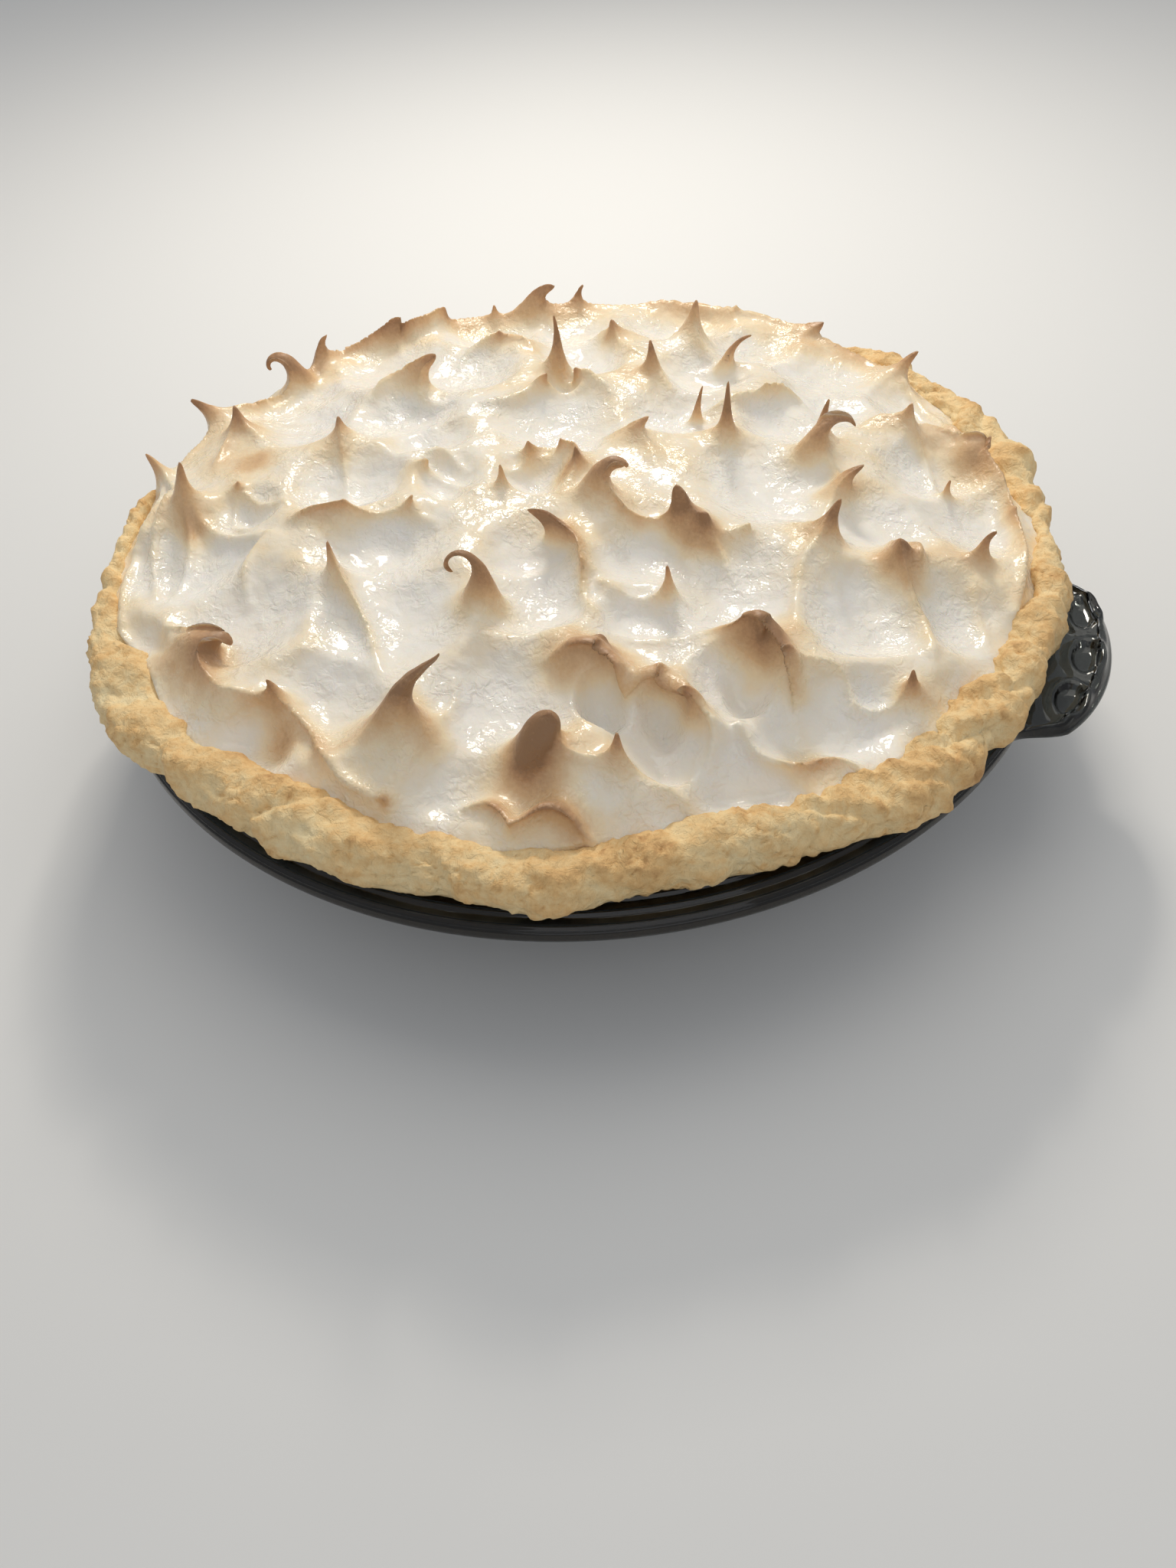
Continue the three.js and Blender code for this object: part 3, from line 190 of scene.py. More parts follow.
# Ridges: (start, end, bow to the left, heights at the start, middle and end, curl to the left)
RIDGES = (
    ("leftEdge", "leftTip", 2, (3.5, 3, 3.5), 0), ("leftTip", "ringHook", -2, (3.5, 5, 4), 0),
    ("ringHook", "backLeft", 0, (3.5, 3, 3.5), 0), ("backLeft", "backFold", 2, (3.5, 6, 7), 0),
    ("backFold", "backFin", -3, (7, 7, 6), 0), ("backFin", "backPip", 2, (4, 2, 2), 0),
    ("backPip", "backHook", 0, (2, 2, 4), 0), ("backHook", "backThorn", 0, (3, 2, 3), 0),
    ("backThorn", (-14, 117), 1, (2.5, 2.5, 3), 0), ((-14, 117), (12, 116), 2, (3, 4, 4), 30),
    ((12, 116), "backCurl", 3, (4, 4, 4), 0),
    ("backCurl", "rightHorn", 3, (4, 3, 4), 0), ("rightHorn", "edgeLoop", 2, (3, 2.5, 3), 0),
    ((84, 62), "edgeLoop", 2, (2, 4, 5), -40),
    ("edgeLoop", (112, 34), 2, (7, 5, 6), 40), ((112, 34), (119, -4), 2, (6, 5, 3), 40),
    ("leftEdge", (-110, -51), 2, (3.5, 3, 3), 0), ((-110, -51), (-91, -84), -2, (3, 3.5, 2), 0),
    ((-109, -32), (-93, -66), -3, (4, 3, 2), 0), ("leftEdge", "tallFin", 0, (4, 4, 4), 0),
    ("tallFin", (-88, -68), 3, (4, 3, 1), 0), ("tallFin", (-70, -43), -3, (3, 2.5, 2), 0),
    ((-70, -43), (-65, -64), -3, (2, 2.5, 1), 0), ("shortFin", (-105, -17), 0, (3.5, 3, 1), 0),
    ("shortFin", (-91, -3), 0, (3, 2, 0), 0), ("ringHook", (-116, 18), 3, (3, 3, 1), 0),
    ("leftPip", (-69, -30), -1, (3, 2.5, 1), 0), ("leftPip", (-72, -42), -5, (2, 2, 1), 0),
    ("leftCone", (-57, -24), 0, (3.5, 2.5, 1.5), 0), ("ringCurl", (-24, -12), 2, (2, 2, 1), 0),
    ((-50, -1), (-31, -2), 4, (1, 2.5, 1), 0), ((-65, -38), (-52, -31), 1, (2, 5, 6), -60),
    ((-52, -31), "thornMid", -1, (6, 4, 3), -50), ("thornMid", (-27, -27), 0, (3, 2, 1), 0),
    ("sabre", (-19, -78), 2, (5.5, 5, 1), 0),
    ((-76, 27), "sharkFin", 3, (1, 4, 4), 0), ("sharkFin", (-48, 31), -4, (4, 3, 1), 0),
    ((-62, 57), "tentFlap", 3, (1, 3, 3.5), 0), ("tentFlap", (-37, 64), 2, (3.5, 3, 1), 0),
    ("smallCurl", (-41, 28), 3, (3.5, 3, 1), 0), ("smallMate", (-5, 45), 1, (3.5, 3, 1), 0),
    ("willow", "smallMate", -2, (3, 3, 2), 0), ("bowlLeft", "bowlRight", 3, (4, 3, 4), 0),
    ("bowlLeft", (-22, 0), 2, (4, 3, 1), 0), ("bowlRight", "bowlLip", 2, (5, 5, 5), 0),
    ("bowlLip", (-1, -6), 1, (5, 3, 1), 0), ("bigHook", "bulb", -4, (4, 5, 2.5), 0),
    ("bulb", (53, -23), 2, (2.5, 4, 1), 0), ("pebble", (43, -12), 0, (1.5, 2, 2), 0),
    ("doubleCurl", (19, 13), 2, (3, 2, 1), 0), ("doubleCurl", (-2, 26), 0, (2, 2, 0.5), 0),
    ("wave", (16, -33), 2, (9, 7, 5), -50), ((16, -33), (26, -48), -2, (5, 3.5, 1.5), 0),
    ("thornRight", (21, -36), 2, (3, 2, 2), 0), ("thornRight", (48, -44), 0, (2, 1.5, 0.5), 0),
    ((19, 47), (37, 60), -2, (1, 3, 5), 0), ((37, 60), (52, 62), 4, (5, 4, 1), 0),
    ("twinSpike", "twinHook", 0, (3.5, 5, 3.5), 0), ("twinHook", "rightCurl", 2, (3.5, 3, 3), 0),
    ("rightCurl", "rightSickle", -2, (3, 2, 3.5), 0), ("rightSickle", (69, -29), -3, (3.5, 3, 1.5), 0),
    ("rightSickle", (58, 2), 1, (3, 2, 0.5), 0), ("rightCone", (93, 33), 2, (3.5, 3, 1), 0),
    ("rightCone", (66, 56), -2, (3, 2.5, 0.5), 0), ((85, 4), (99, -18), -2, (3, 4.5, 3), 0),
    ((88, 7), (95, -11), 2, (3, 4, 1), 0), ((99, -18), (104, -33), 0, (3, 2, 1), 0),
    ("rightHook", (101, 4), 0, (2, 1.5, 0.5), 0), ((108, -2), (114, -15), 0, (2, 2.5, 1), 0),
    ((50, -45), (60, -43), 1, (1, 4, 7), -90), ((60, -43), (73, -49), 2, (7, 9, 8), -120),
    ((73, -49), (77, -57), 1, (8, 6, 2), -110), ((28, -50), (50, -45), -1, (0.5, 2, 1.5), 0),
    ((75, -47), (89, -50), 4, (2.5, 2, 3), 0), ((89, -50), "pinRight", -2, (3, 2.5, 3), 0),
    ((66, -68), (82, -72), -3, (2, 4, 4.5), -30), ((82, -72), (94, -66), 3, (4.5, 4.5, 2), -30),
    ((19, -66), (31, -62), 1, (1, 5, 8), -100), ((31, -62), (40, -68), 2, (8, 8, 4), -120),
    ((40, -68), (46, -63), 1, (4, 7, 8), -120), ((46, -63), "scallopTip", 1, (8, 8, 7), -120),
    ("scallopTip", (62, -79), 3, (6, 4, 1), -90), ("thumb", "frontThorn", -2, (2.5, 3.5, 4), 0),
    ((61, -89), (69, -90), -2, (2.5, 1.5, 2.5), 0), ((69, -90), (74, -86), -2, (2.5, 1.5, 2.5), 0),
    ("frontThorn", (62, -90), 1, (3.5, 3, 2), 0), ((13, -107), (28, -108), 4, (1, 5, 5), -80),
    ((28, -108), (47, -106), 5, (5, 6, 1), -80), ((-80, -78), "leftFold", 2, (2, 5, 5), -40),
    ("leftFold", (-53, -95), -2, (5, 5, 3.5), 0), ((-53, -95), "frontPip", -1, (3.5, 4, 5), -30),
    ("frontPip", (-22, -103), 2, (5, 4.5, 4), -60), ((-22, -103), "frontBlob", -2, (4, 4, 3), -40),
    ((-2, -74), (2, -87), 2, (0.5, 2, 2), 0),
    ("greatFin", (-2, -103), 1, (5, 2, 0.5), 0), ("backMound", (-3, 69), -2, (3, 2.5, 1), 0),
    ("backMound", (-30, 88), 0, (3, 2, 0.5), 0), ("broadPeak", (16, 78), -2, (4, 4, 1), 0),
    ("broadPeak", (-4, 92), 2, (3.5, 3, 1), 0), ("backCone", (12, 50), 1, (3, 2, 0.5), 0),
)

# Patches browned more than their height gives: (x, y, radius, share)
BROWNED = (
    (24, -63, 7, 0.35), (34, -60, 6, 0.3), (45, -61, 6, 0.25), (57, -66, 4, 0.4), (-34, -100, 6, 0.45),
    (-62, -88, 6, 0.3), (64, -43, 8, 0.35), (90, -2, 7, 0.35), (40, -13, 6, 0.35), (-95, -42, 6, 0.3),
    (-93, -12, 6, 0.3), (98, 52, 8, 0.25), (86, 60, 6, 0.25), (28, -95, 6, 0.2), (-2, 4, 5, 0.45),
    (-14, 10, 5, 0.3), (83, -70, 6, 0.35), (-60, 95, 12, 0.15), (0, 110, 14, 0.1), (36, 106, 10, 0.15),
    (-58, -32, 7, 0.2), (21, -103, 7, 0.2), (40, -103, 7, 0.15),
)

# ---------------------------------------------------------------- small helpers


def smoothstep(value, low, high):
    share = np.clip((value - low) / (high - low), 0.0, 1.0)
    return share * share * (3.0 - 2.0 * share)


def waves(x, y, z, size, seed, octaves=4):
    """Smooth random waves of a given size in mm, mostly from -1 to 1, summed from turned sine fields."""
    draw = np.random.default_rng(seed)
    total = np.zeros_like(x)
    weight = 1.0
    scale = 2.0 * math.pi / size
    norm = 0.0
    for _ in range(octaves):
        layer = np.zeros_like(x)
        for _ in range(5):
            way = draw.normal(size=3)
            way *= scale * draw.uniform(0.6, 1.4) / np.linalg.norm(way)
            layer += np.sin(way[0] * x + way[1] * y + way[2] * z + draw.uniform(0, 2 * math.pi))
        total += weight * layer / 5 ** 0.5
        norm += weight
        weight *= 0.5
        scale *= 2.0
    return total / norm


def eased(edge, azimuth):
    """The size of an uneven edge at each azimuth, eased from one named place to the next."""
    at = np.radians([place for place, _ in edge])
    size = np.array([value for _, value in edge], dtype=float)
    at = np.append(at, at[0] + 2 * math.pi)
    size = np.append(size, size[0])
    turn = np.mod(azimuth - at[0], 2 * math.pi) + at[0]
    index = np.clip(np.searchsorted(at, turn, side="right") - 1, 0, len(at) - 2)
    share = smoothstep(turn, at[index], at[index + 1])
    return size[index] * (1 - share) + size[index + 1] * share


def crust_reach(azimuth):
    return eased(CRUST_REACH, azimuth) + 0.9 * np.sin(11 * azimuth + 1) + 0.6 * np.sin(19 * azimuth)


def crust_crown(azimuth):
    return eased(CRUST_CROWN, azimuth) + 0.8 * np.sin(7 * azimuth + 2) + 0.5 * np.sin(13 * azimuth)


def meringue_reach(azimuth):
    return eased(MERINGUE_REACH, azimuth) + 0.6 * np.sin(9 * azimuth) + 0.5 * np.sin(23 * azimuth + 1)


def mesh_piece(name, points_mm, faces, material, smooth=True):
    mesh = bpy.data.meshes.new(name)
    points = np.asarray(points_mm, dtype=float) * MM
    mesh.from_pydata(points.tolist(), [], faces)
    mesh.validate()
    mesh.update()
    if smooth:
        mesh.polygons.foreach_set("use_smooth", [True] * len(mesh.polygons))
    mesh.materials.append(material)
    piece = bpy.data.objects.new(name, mesh)
    bpy.context.collection.objects.link(piece)
    return piece


def point_values(piece, name, values):
    """A number stored on each point of a piece, for its finish to read."""
    layer = piece.data.attributes.new(name, "FLOAT", "POINT")
    layer.data.foreach_set("value", values)


# ---------------------------------------------------------------- shader expressions


class Wire:
    """A shader value that Python operators add Math nodes to."""

    def __init__(self, shader, socket):
        self.shader = shader
        self.socket = socket

    def _math(self, operation, *others):
        node = self.shader.tree.nodes.new("ShaderNodeMath")
        node.operation = operation
        for slot, value in zip(node.inputs, (self, *others)):
            self.shader.feed(slot, value)
        return Wire(self.shader, node.outputs[0])

    def __add__(self, other):
        return self._math("ADD", other)

    __radd__ = __add__

    def __sub__(self, other):
        return self._math("SUBTRACT", other)

    def __rsub__(self, other):
        return self._math("MULTIPLY", -1.0) + other

    def __mul__(self, other):
        return self._math("MULTIPLY", other)

    __rmul__ = __mul__

    def clamp(self):
        return self.shader.add("ShaderNodeClamp", Value=self)

    def step(self, low, high):
        """0 below low, 1 above high and smooth between."""
        return self.shader.add(
            "ShaderNodeMapRange", {"interpolation_type": "SMOOTHSTEP"},
            **{"Value": self, "From Min": low, "From Max": high})


class Shader:
    """One material, its nodes added by type, settings and sockets."""

    def __init__(self, name):
        self.material = bpy.data.materials.new(name)
        self.material.use_nodes = True
        self.tree = self.material.node_tree
        self.tree.nodes.clear()
        self.output = self.tree.nodes.new("ShaderNodeOutputMaterial")

    def feed(self, slot, value):
        if isinstance(value, Wire):
            self.tree.links.new(value.socket, slot)
        else:
            slot.default_value = value

    def add(self, kind, settings=None, output=0, **sockets):
        node = self.tree.nodes.new(kind)
        for key, value in (settings or {}).items():
            if key == "stops":
                self._set_stops(node, value)
            else:
                setattr(node, key, value)
        for key, value in sockets.items():
            self.feed(node.inputs[key], value)
        return Wire(self, node.outputs[output])

    @staticmethod
    def _set_stops(node, stops):
        ramp = node.color_ramp
        while len(ramp.elements) < len(stops):
            ramp.elements.new(0.5)
        for element, (place, colour) in zip(ramp.elements, stops):
            element.position = place
            element.color = (*colour, 1.0)

    def place(self):
        return self.add("ShaderNodeTexCoord", output="Object")

    def stored(self, name):
        """A number that the piece holds on its points."""
        return self.add("ShaderNodeAttribute", {"attribute_name": name}, output="Fac")

    def noise(self, size_mm, detail=3.0, roughness=0.5, distortion=0.0):
        return self.add(
            "ShaderNodeTexNoise", Vector=self.place(), Scale=1.0 / (size_mm * MM), Detail=detail,
            Roughness=roughness, Distortion=distortion)

    def ramp(self, value, stops):
        return self.add("ShaderNodeValToRGB", {"stops": stops}, Fac=value)

    def bump(self, height, depth_mm, normal=None):
        sockets = {"Height": height, "Distance": depth_mm * MM, "Strength": 1.0}
        if normal is not None:
            sockets["Normal"] = normal
        return self.add("ShaderNodeBump", **sockets)

    def finish(self, **sockets):
        surface = self.add("ShaderNodeBsdfPrincipled", **sockets)
        self.tree.links.new(surface.socket, self.output.inputs["Surface"])
        return self.material


def glass_finish():
    shader = Shader("glass tinted as painted shade")
    return shader.finish(**{
        # The clear glass is tinted near black as painted shade, standing in for the shade under the pie's rim
        # and beneath the dish.
        "Base Color": (0.05, 0.056, 0.054, 1.0), "Roughness": 0.02, "IOR": 1.5, "Transmission Weight": 1.0,
    })


def pastry_finish():
    shader = Shader("baked pastry")
    patches = shader.noise(16.0, detail=4.0, roughness=0.6)
    flecks = shader.noise(2.4, detail=4.0, roughness=0.7)
    browned = shader.stored("browned")
    # The stored value is the browning, with painted shade added below the rim and in the crevices.
    tone = patches * 0.5 + flecks * 0.45 + browned * 0.5 - 0.04
    colour = shader.ramp(tone, (
        (0.25, (0.97, 0.80, 0.48)), (0.42, (0.95, 0.70, 0.36)), (0.56, (0.86, 0.55, 0.235)),
        (0.72, (0.60, 0.33, 0.125)), (0.95, (0.25, 0.135, 0.06)),
    ))
    crumb = shader.noise(0.9, detail=5.0, roughness=0.7)
    layers = shader.noise(2.6, detail=3.0, roughness=0.6, distortion=1.0)
    return shader.finish(**{
        "Base Color": colour, "Roughness": 0.6, "Specular IOR Level": 0.4,
        "Normal": shader.bump(crumb * 0.4 + layers, 0.9),
    })


def meringue_finish():
    shader = Shader("toasted meringue")
    toast = shader.stored("toast")
    cloud = shader.noise(11.0, detail=4.0, roughness=0.55)
    stipple = shader.noise(0.9, detail=2.0, roughness=0.6)
    tone = (toast * (0.72 + 0.5 * cloud + 0.35 * (stipple - 0.5)) + (cloud - 0.5) * 0.32 + 0.02).clamp()
    colour = shader.ramp(tone, (
        (0.0, (0.92, 0.885, 0.82)), (0.10, (0.92, 0.86, 0.75)), (0.28, (0.92, 0.765, 0.53)),
        (0.50, (0.76, 0.52, 0.29)), (0.75, (0.55, 0.325, 0.17)), (1.0, (0.34, 0.19, 0.095)),
    ))
    rough = shader.noise(12.0, detail=1.0).step(0.40, 0.60)
    ripple = shader.noise(2.0, detail=2.0, roughness=0.5, distortion=0.6)
    swell = shader.noise(5.0, detail=1.0)
    return shader.finish(**{
        "Base Color": colour, "Roughness": (0.08 + 0.45 * tone).clamp(), "Specular IOR Level": 0.5,
        "Subsurface Weight": 0.25, "Subsurface Radius": (1.0, 0.75, 0.5), "Subsurface Scale": 3.0 * MM,
        "Normal": shader.bump(ripple * (0.28 + 0.75 * rough) + 0.9 * swell, 0.62),
    })


# ---------------------------------------------------------------- glass dish

HANDLE_SECTOR = 18.0  # degrees either side of the handle's middle that need close steps
CLOSE_TURN = 0.4
OPEN_TURN = 1.5
CORNER_STEPS = 4
FLANGE_STEPS = (24, 30)  # in the part that is drawn out into the handle, and inside of it
RIDGE_ROUNDNESS = 0.55  # width of the bell curve of a ring's section over its half width
HANDLE_FADE = 9.0  # the sides of the handle run into the flange over this length
HANDLE_SHOWS = (0.15, 0.5)  # shares of the handle's reach where its relief sets in and is full
HANDLE_RIM_AT = 0.8  # share of the way from the handle's root to its edge
HANDLE_RIM_WIDTH = 0.09  # as a share of that way
THUMB_CELL_SETBACK = 0.13  # how far in a cell is set, for each mm from the middle of the row
THUMB_CELL_DEPTH = 0.6
THUMB_CELL_RIM_WIDTH = 0.2  # as a share of the radius of the cell


def rounded(points, radius_steps):
    """The outline with each corner that has a radius turned into an arc of a few points."""
    out = []
    for k, (x, y, radius) in enumerate(points):
        if radius == 0:
            out.append((x, y))
            continue
        before = np.array(points[k - 1][:2]) - (x, y)
        after = np.array(points[(k + 1) % len(points)][:2]) - (x, y)
        start = before / np.linalg.norm(before) * radius
        end = after / np.linalg.norm(after) * radius
        for step in range(radius_steps + 1):
            t = step / radius_steps
            out.append(tuple(np.array((x, y)) + start * (1 - t) ** 2 + end * t ** 2))
    return out


def dish_profile():
    """(radius, height) from the middle of the underside round to the middle of the floor."""
    lean = (DISH_MOUTH_RADIUS - DISH_FLOOR_RADIUS) / (DISH_HEIGHT - GLASS)
    foot = DISH_FLOOR_RADIUS + 1
    underside = DISH_HEIGHT - GLASS
    outer = [
        (0, 0, 0), (foot, 0, 2.5), (foot + GLASS, GLASS / 2, 3),
        (foot + GLASS + lean * (underside - GLASS), underside - 1, 3),
        (DISH_RADIUS - 1, underside + 0.6, 0.8), (DISH_RADIUS, underside + 2, 1),
        (DISH_RADIUS - 0.6, DISH_HEIGHT, 0.5),
    ]
    drawn_out = np.linspace(DISH_RADIUS - 1.0, HANDLE_ROOT, FLANGE_STEPS[0])
    level = np.linspace(HANDLE_ROOT, DISH_MOUTH_RADIUS + 1.6, FLANGE_STEPS[1])[1:]
    width = RIDGE_ROUNDNESS * FLANGE_RIDGE_HALF_WIDTH
    flange = []
    for radius in np.concatenate([drawn_out, level]):
        ridge = sum(math.exp(-((radius - at) / width) ** 2) for at in FLANGE_RIDGES)
        flange.append((radius, DISH_HEIGHT + FLANGE_RIDGE_HEIGHT * ridge, 0))
    inner = [
        (DISH_MOUTH_RADIUS, DISH_HEIGHT - 0.6, 1), (DISH_FLOOR_RADIUS + 2 * lean, GLASS + 2, 3),
        (DISH_FLOOR_RADIUS - 3, GLASS, 3), (0, GLASS, 0),
    ]
    return rounded(outer + flange + inner, CORNER_STEPS)


def dish_turns():
    close = np.arange(-HANDLE_SECTOR, HANDLE_SECTOR, CLOSE_TURN)
    between = np.arange(HANDLE_SECTOR, 360 - HANDLE_SECTOR, OPEN_TURN)
    return np.radians(np.concatenate([close, between]))


def thumb_cell_relief(out, along):
    """Oval cells with a raised rim each, over the plan of the handle."""
    relief = np.zeros_like(out)
    for cell in range(THUMB_CELLS):
        middle = (cell - (THUMB_CELLS - 1) / 2) * THUMB_CELL_SPACING
        reach = THUMB_CELL_REACH - THUMB_CELL_SETBACK * abs(middle)
        away = np.hypot((out - reach) / THUMB_CELL_OUT, (along - middle) / THUMB_CELL_ALONG)
        rim = HANDLE_RIM * np.exp(-((away - 1) / THUMB_CELL_RIM_WIDTH) ** 2)
        relief += rim - THUMB_CELL_DEPTH * (1 - smoothstep(away, 0.5, 1))
    return relief


def make_dish(material):
    profile = np.array(dish_profile())
    turns = dish_turns()
    radius, azimuth = np.meshgrid(profile[:, 0], turns)
    height = np.tile(profile[:, 1], (len(turns), 1))
    aside = np.abs(radius * np.sin(azimuth))
    oval = np.sqrt(np.clip(1 - (aside / HANDLE_HALF_WIDTH) ** 2, 0, 1))
    tab = oval * smoothstep(HANDLE_HALF_WIDTH - aside, 0, HANDLE_FADE)
    tab = tab * (np.cos(azimuth) > 0)
    stretch = np.clip((radius - HANDLE_ROOT) / (DISH_RADIUS - HANDLE_ROOT), 0, 1)
    radius = radius + stretch * (HANDLE_REACH - DISH_RADIUS) * tab
    above = (height > DISH_HEIGHT - 0.3) & (stretch > 0)
    plain = np.where(above, DISH_HEIGHT, height)
    rim = HANDLE_RIM * np.exp(-((stretch - HANDLE_RIM_AT) / HANDLE_RIM_WIDTH) ** 2)
    cells = thumb_cell_relief(radius * np.cos(azimuth), radius * np.sin(azimuth))
    shaped = plain + np.where(above, rim + cells, 0)
    share = smoothstep(tab, *HANDLE_SHOWS)
    height = height * (1 - share) + shaped * share
    points = np.stack([radius * np.cos(azimuth), radius * np.sin(azimuth), height], -1)
    return turned_piece("glass_pie_dish", points, material)


def turned_piece(name, points, material):
    """A closed body from sections round the axis, whose first and last points lie on the axis."""
    turns, count = points.shape[:2]
    ring = points[:, 1:-1].reshape(-1, 3)
    inner = count - 2
    verts = np.vstack([ring, points[0, :1], points[0, -1:]])
    low, high = len(ring), len(ring) + 1
    faces = []
    for turn in range(turns):
        here, there = turn * inner, (turn + 1) % turns * inner
        faces.append((here, low, there))
        faces.append((here + inner - 1, there + inner - 1, high))
        faces.extend((here + k, there + k, there + k + 1, here + k + 1) for k in range(inner - 1))
    return mesh_piece(name, verts, faces, material)


# ---------------------------------------------------------------- pastry case

CRUST_TURNS = 1000
ROPE_STEPS = 44
# Deep creases across the rolled rim: (azimuth in degrees, slant in degrees for each mm across, depth)
CREASES = (
    (-170, 0.5, 2.6), (-149, -0.3, 1.2), (-120, 0.5, 1.3), (-101, -0.5, 1.8), (-84, 0.4, 1.4),
    (-63, 0.7, 1.0), (-42, 0.8, 1.8), (-33, 0.9, 1.6), (-24, 0.9, 2.0), (-15, 0.8, 1.6),
    (21, 0.5, 1.6), (40, 0.4, 2.0), (57, -0.3, 1.4),
)
CREASE_WIDTH = 1.1  # in degrees
CREASE_LIP = 2.5  # the dough swells this many degrees to one side of a crease
LIP_SHARE = 0.4  # height of that swelling over the depth of the crease
ROPE_SQUARENESS = 0.8  # power of the section of the rolled rim, 1 for an oval
ROPE_HALF_TURNS = 1.5  # the section runs from below round the outside and the top to the inner side
LAP_OVER_MERINGUE = 1.5  # the rolled rim starts this far inside the edge of the meringue
# Relief of the rolled rim: (height, size) of each kind
SWELLINGS = (1.2, 21.0)
BUMPS = (0.6, 7.5)
PEBBLES = (0.3, 5.0)
FLAKE_SIZE = 4.2
FLAKE_HEIGHT = 0.35
TORN_DEPTH = 0.6  # where a flake is missing
CREVICES = (0.5, 13.0)  # depth and size
CREVICE_WIDTH = 0.06  # as a difference in the value of their wave
# Slanting folds on one side of the rolled rim
FOLDS_MIDDLE = -22  # azimuth in degrees
FOLDS_IN_A_TURN = 46
FOLD_HEIGHT = 0.5
FOLD_SLANT = 0.16  # in radians of a fold's 2 pi, for each mm across
FOLD_GROOVE = 2.2  # depth of the groove between two folds over their height
FOLD_GROOVE_WIDTH = 0.55  # in radians of a fold's 2 pi
# How much browner the tops and the flakes are, and how much painted shade darkens the crevices
BROWNED_TOPS = 0.12  # for each mm of height
BROWNED_FLAKES = 0.1
CREVICE_SHADE = 0.3


def crust_section(azimuth):
    lean = (DISH_MOUTH_RADIUS - DISH_FLOOR_RADIUS) / (DISH_HEIGHT - GLASS)
    outer = float(crust_reach(azimuth))
    inner = float(meringue_reach(azimuth)) - LAP_OVER_MERINGUE
    middle = (outer + inner) / 2
    half = (outer - inner) / 2
    top = float(crust_crown(azimuth))
    hang = CRUST_UNDERSIDE - 0.1
    wall = [
        (0.0, GLASS - SUNK_IN_GLASS), (DISH_FLOOR_RADIUS - 4, GLASS - SUNK_IN_GLASS),
        (DISH_FLOOR_RADIUS + 2 * lean, GLASS + 2 - SUNK_IN_GLASS),
        (DISH_MOUTH_RADIUS + SUNK_IN_GLASS, DISH_HEIGHT - 1),
        (DISH_MOUTH_RADIUS + 1, hang),
    ]
    middle_height = (hang + top) / 2
    half_height = (top - hang) / 2
    rope = []
    for step in range(ROPE_STEPS + 1):
        turn = -math.pi / 2 + step / ROPE_STEPS * ROPE_HALF_TURNS * math.pi
        across = math.copysign(abs(math.cos(turn)) ** ROPE_SQUARENESS, math.cos(turn))
        upward = math.copysign(abs(math.sin(turn)) ** ROPE_SQUARENESS, math.sin(turn))
        rope.append((middle + half * across, middle_height + half_height * upward))
    return wall + rope + [(inner - 3, CRUST_BED), (0.0, CRUST_BED)]


def crust_lumps(x, y, z, azimuth, across):
    """Relief of the rolled rim in mm, with where its flakes and its crevices are."""
    lumps = SWELLINGS[0] * waves(x, y, z, SWELLINGS[1], 3, 2) + BUMPS[0] * waves(x, y, z, BUMPS[1], 4, 2)
    folded = smoothstep(np.cos(azimuth - math.radians(FOLDS_MIDDLE)), 0.75, 0.95)
    slant = FOLDS_IN_A_TURN * azimuth + FOLD_SLANT * across + 1.5 * waves(x, y, z, 30.0, 8, 1)
    groove = np.exp(-((np.mod(slant, 2 * math.pi) - math.pi) / FOLD_GROOVE_WIDTH) ** 2)
    folds = folded * (1.0 - FOLD_GROOVE * groove)
    flakes = waves(x, y, z, FLAKE_SIZE, 5, 2)
    torn = -TORN_DEPTH * smoothstep(flakes, 0.4, 0.9) + FLAKE_HEIGHT * smoothstep(-flakes, 0.3, 0.6)
    cracked = smoothstep(waves(x, y, z, 25.0, 7, 1), -0.5, 0.3)
    crevice = np.exp(-(waves(x, y, z, CREVICES[1], 6, 3) / CREVICE_WIDTH) ** 2) * cracked
    pebbles = PEBBLES[0] * np.abs(waves(x, y, z, PEBBLES[1], 9, 2))
    creases = np.zeros_like(x)
    for at, slope, depth in CREASES:
        off = np.mod(np.degrees(azimuth) - at - slope * across + 180, 360) - 180
        lip = LIP_SHARE * np.exp(-((off - CREASE_LIP) / CREASE_LIP) ** 2)
        creases += depth * (np.exp(-(off / CREASE_WIDTH) ** 2) - lip)
    relief = lumps + FOLD_HEIGHT * folds + torn + pebbles - CREVICES[0] * crevice - creases
    return relief, flakes, crevice


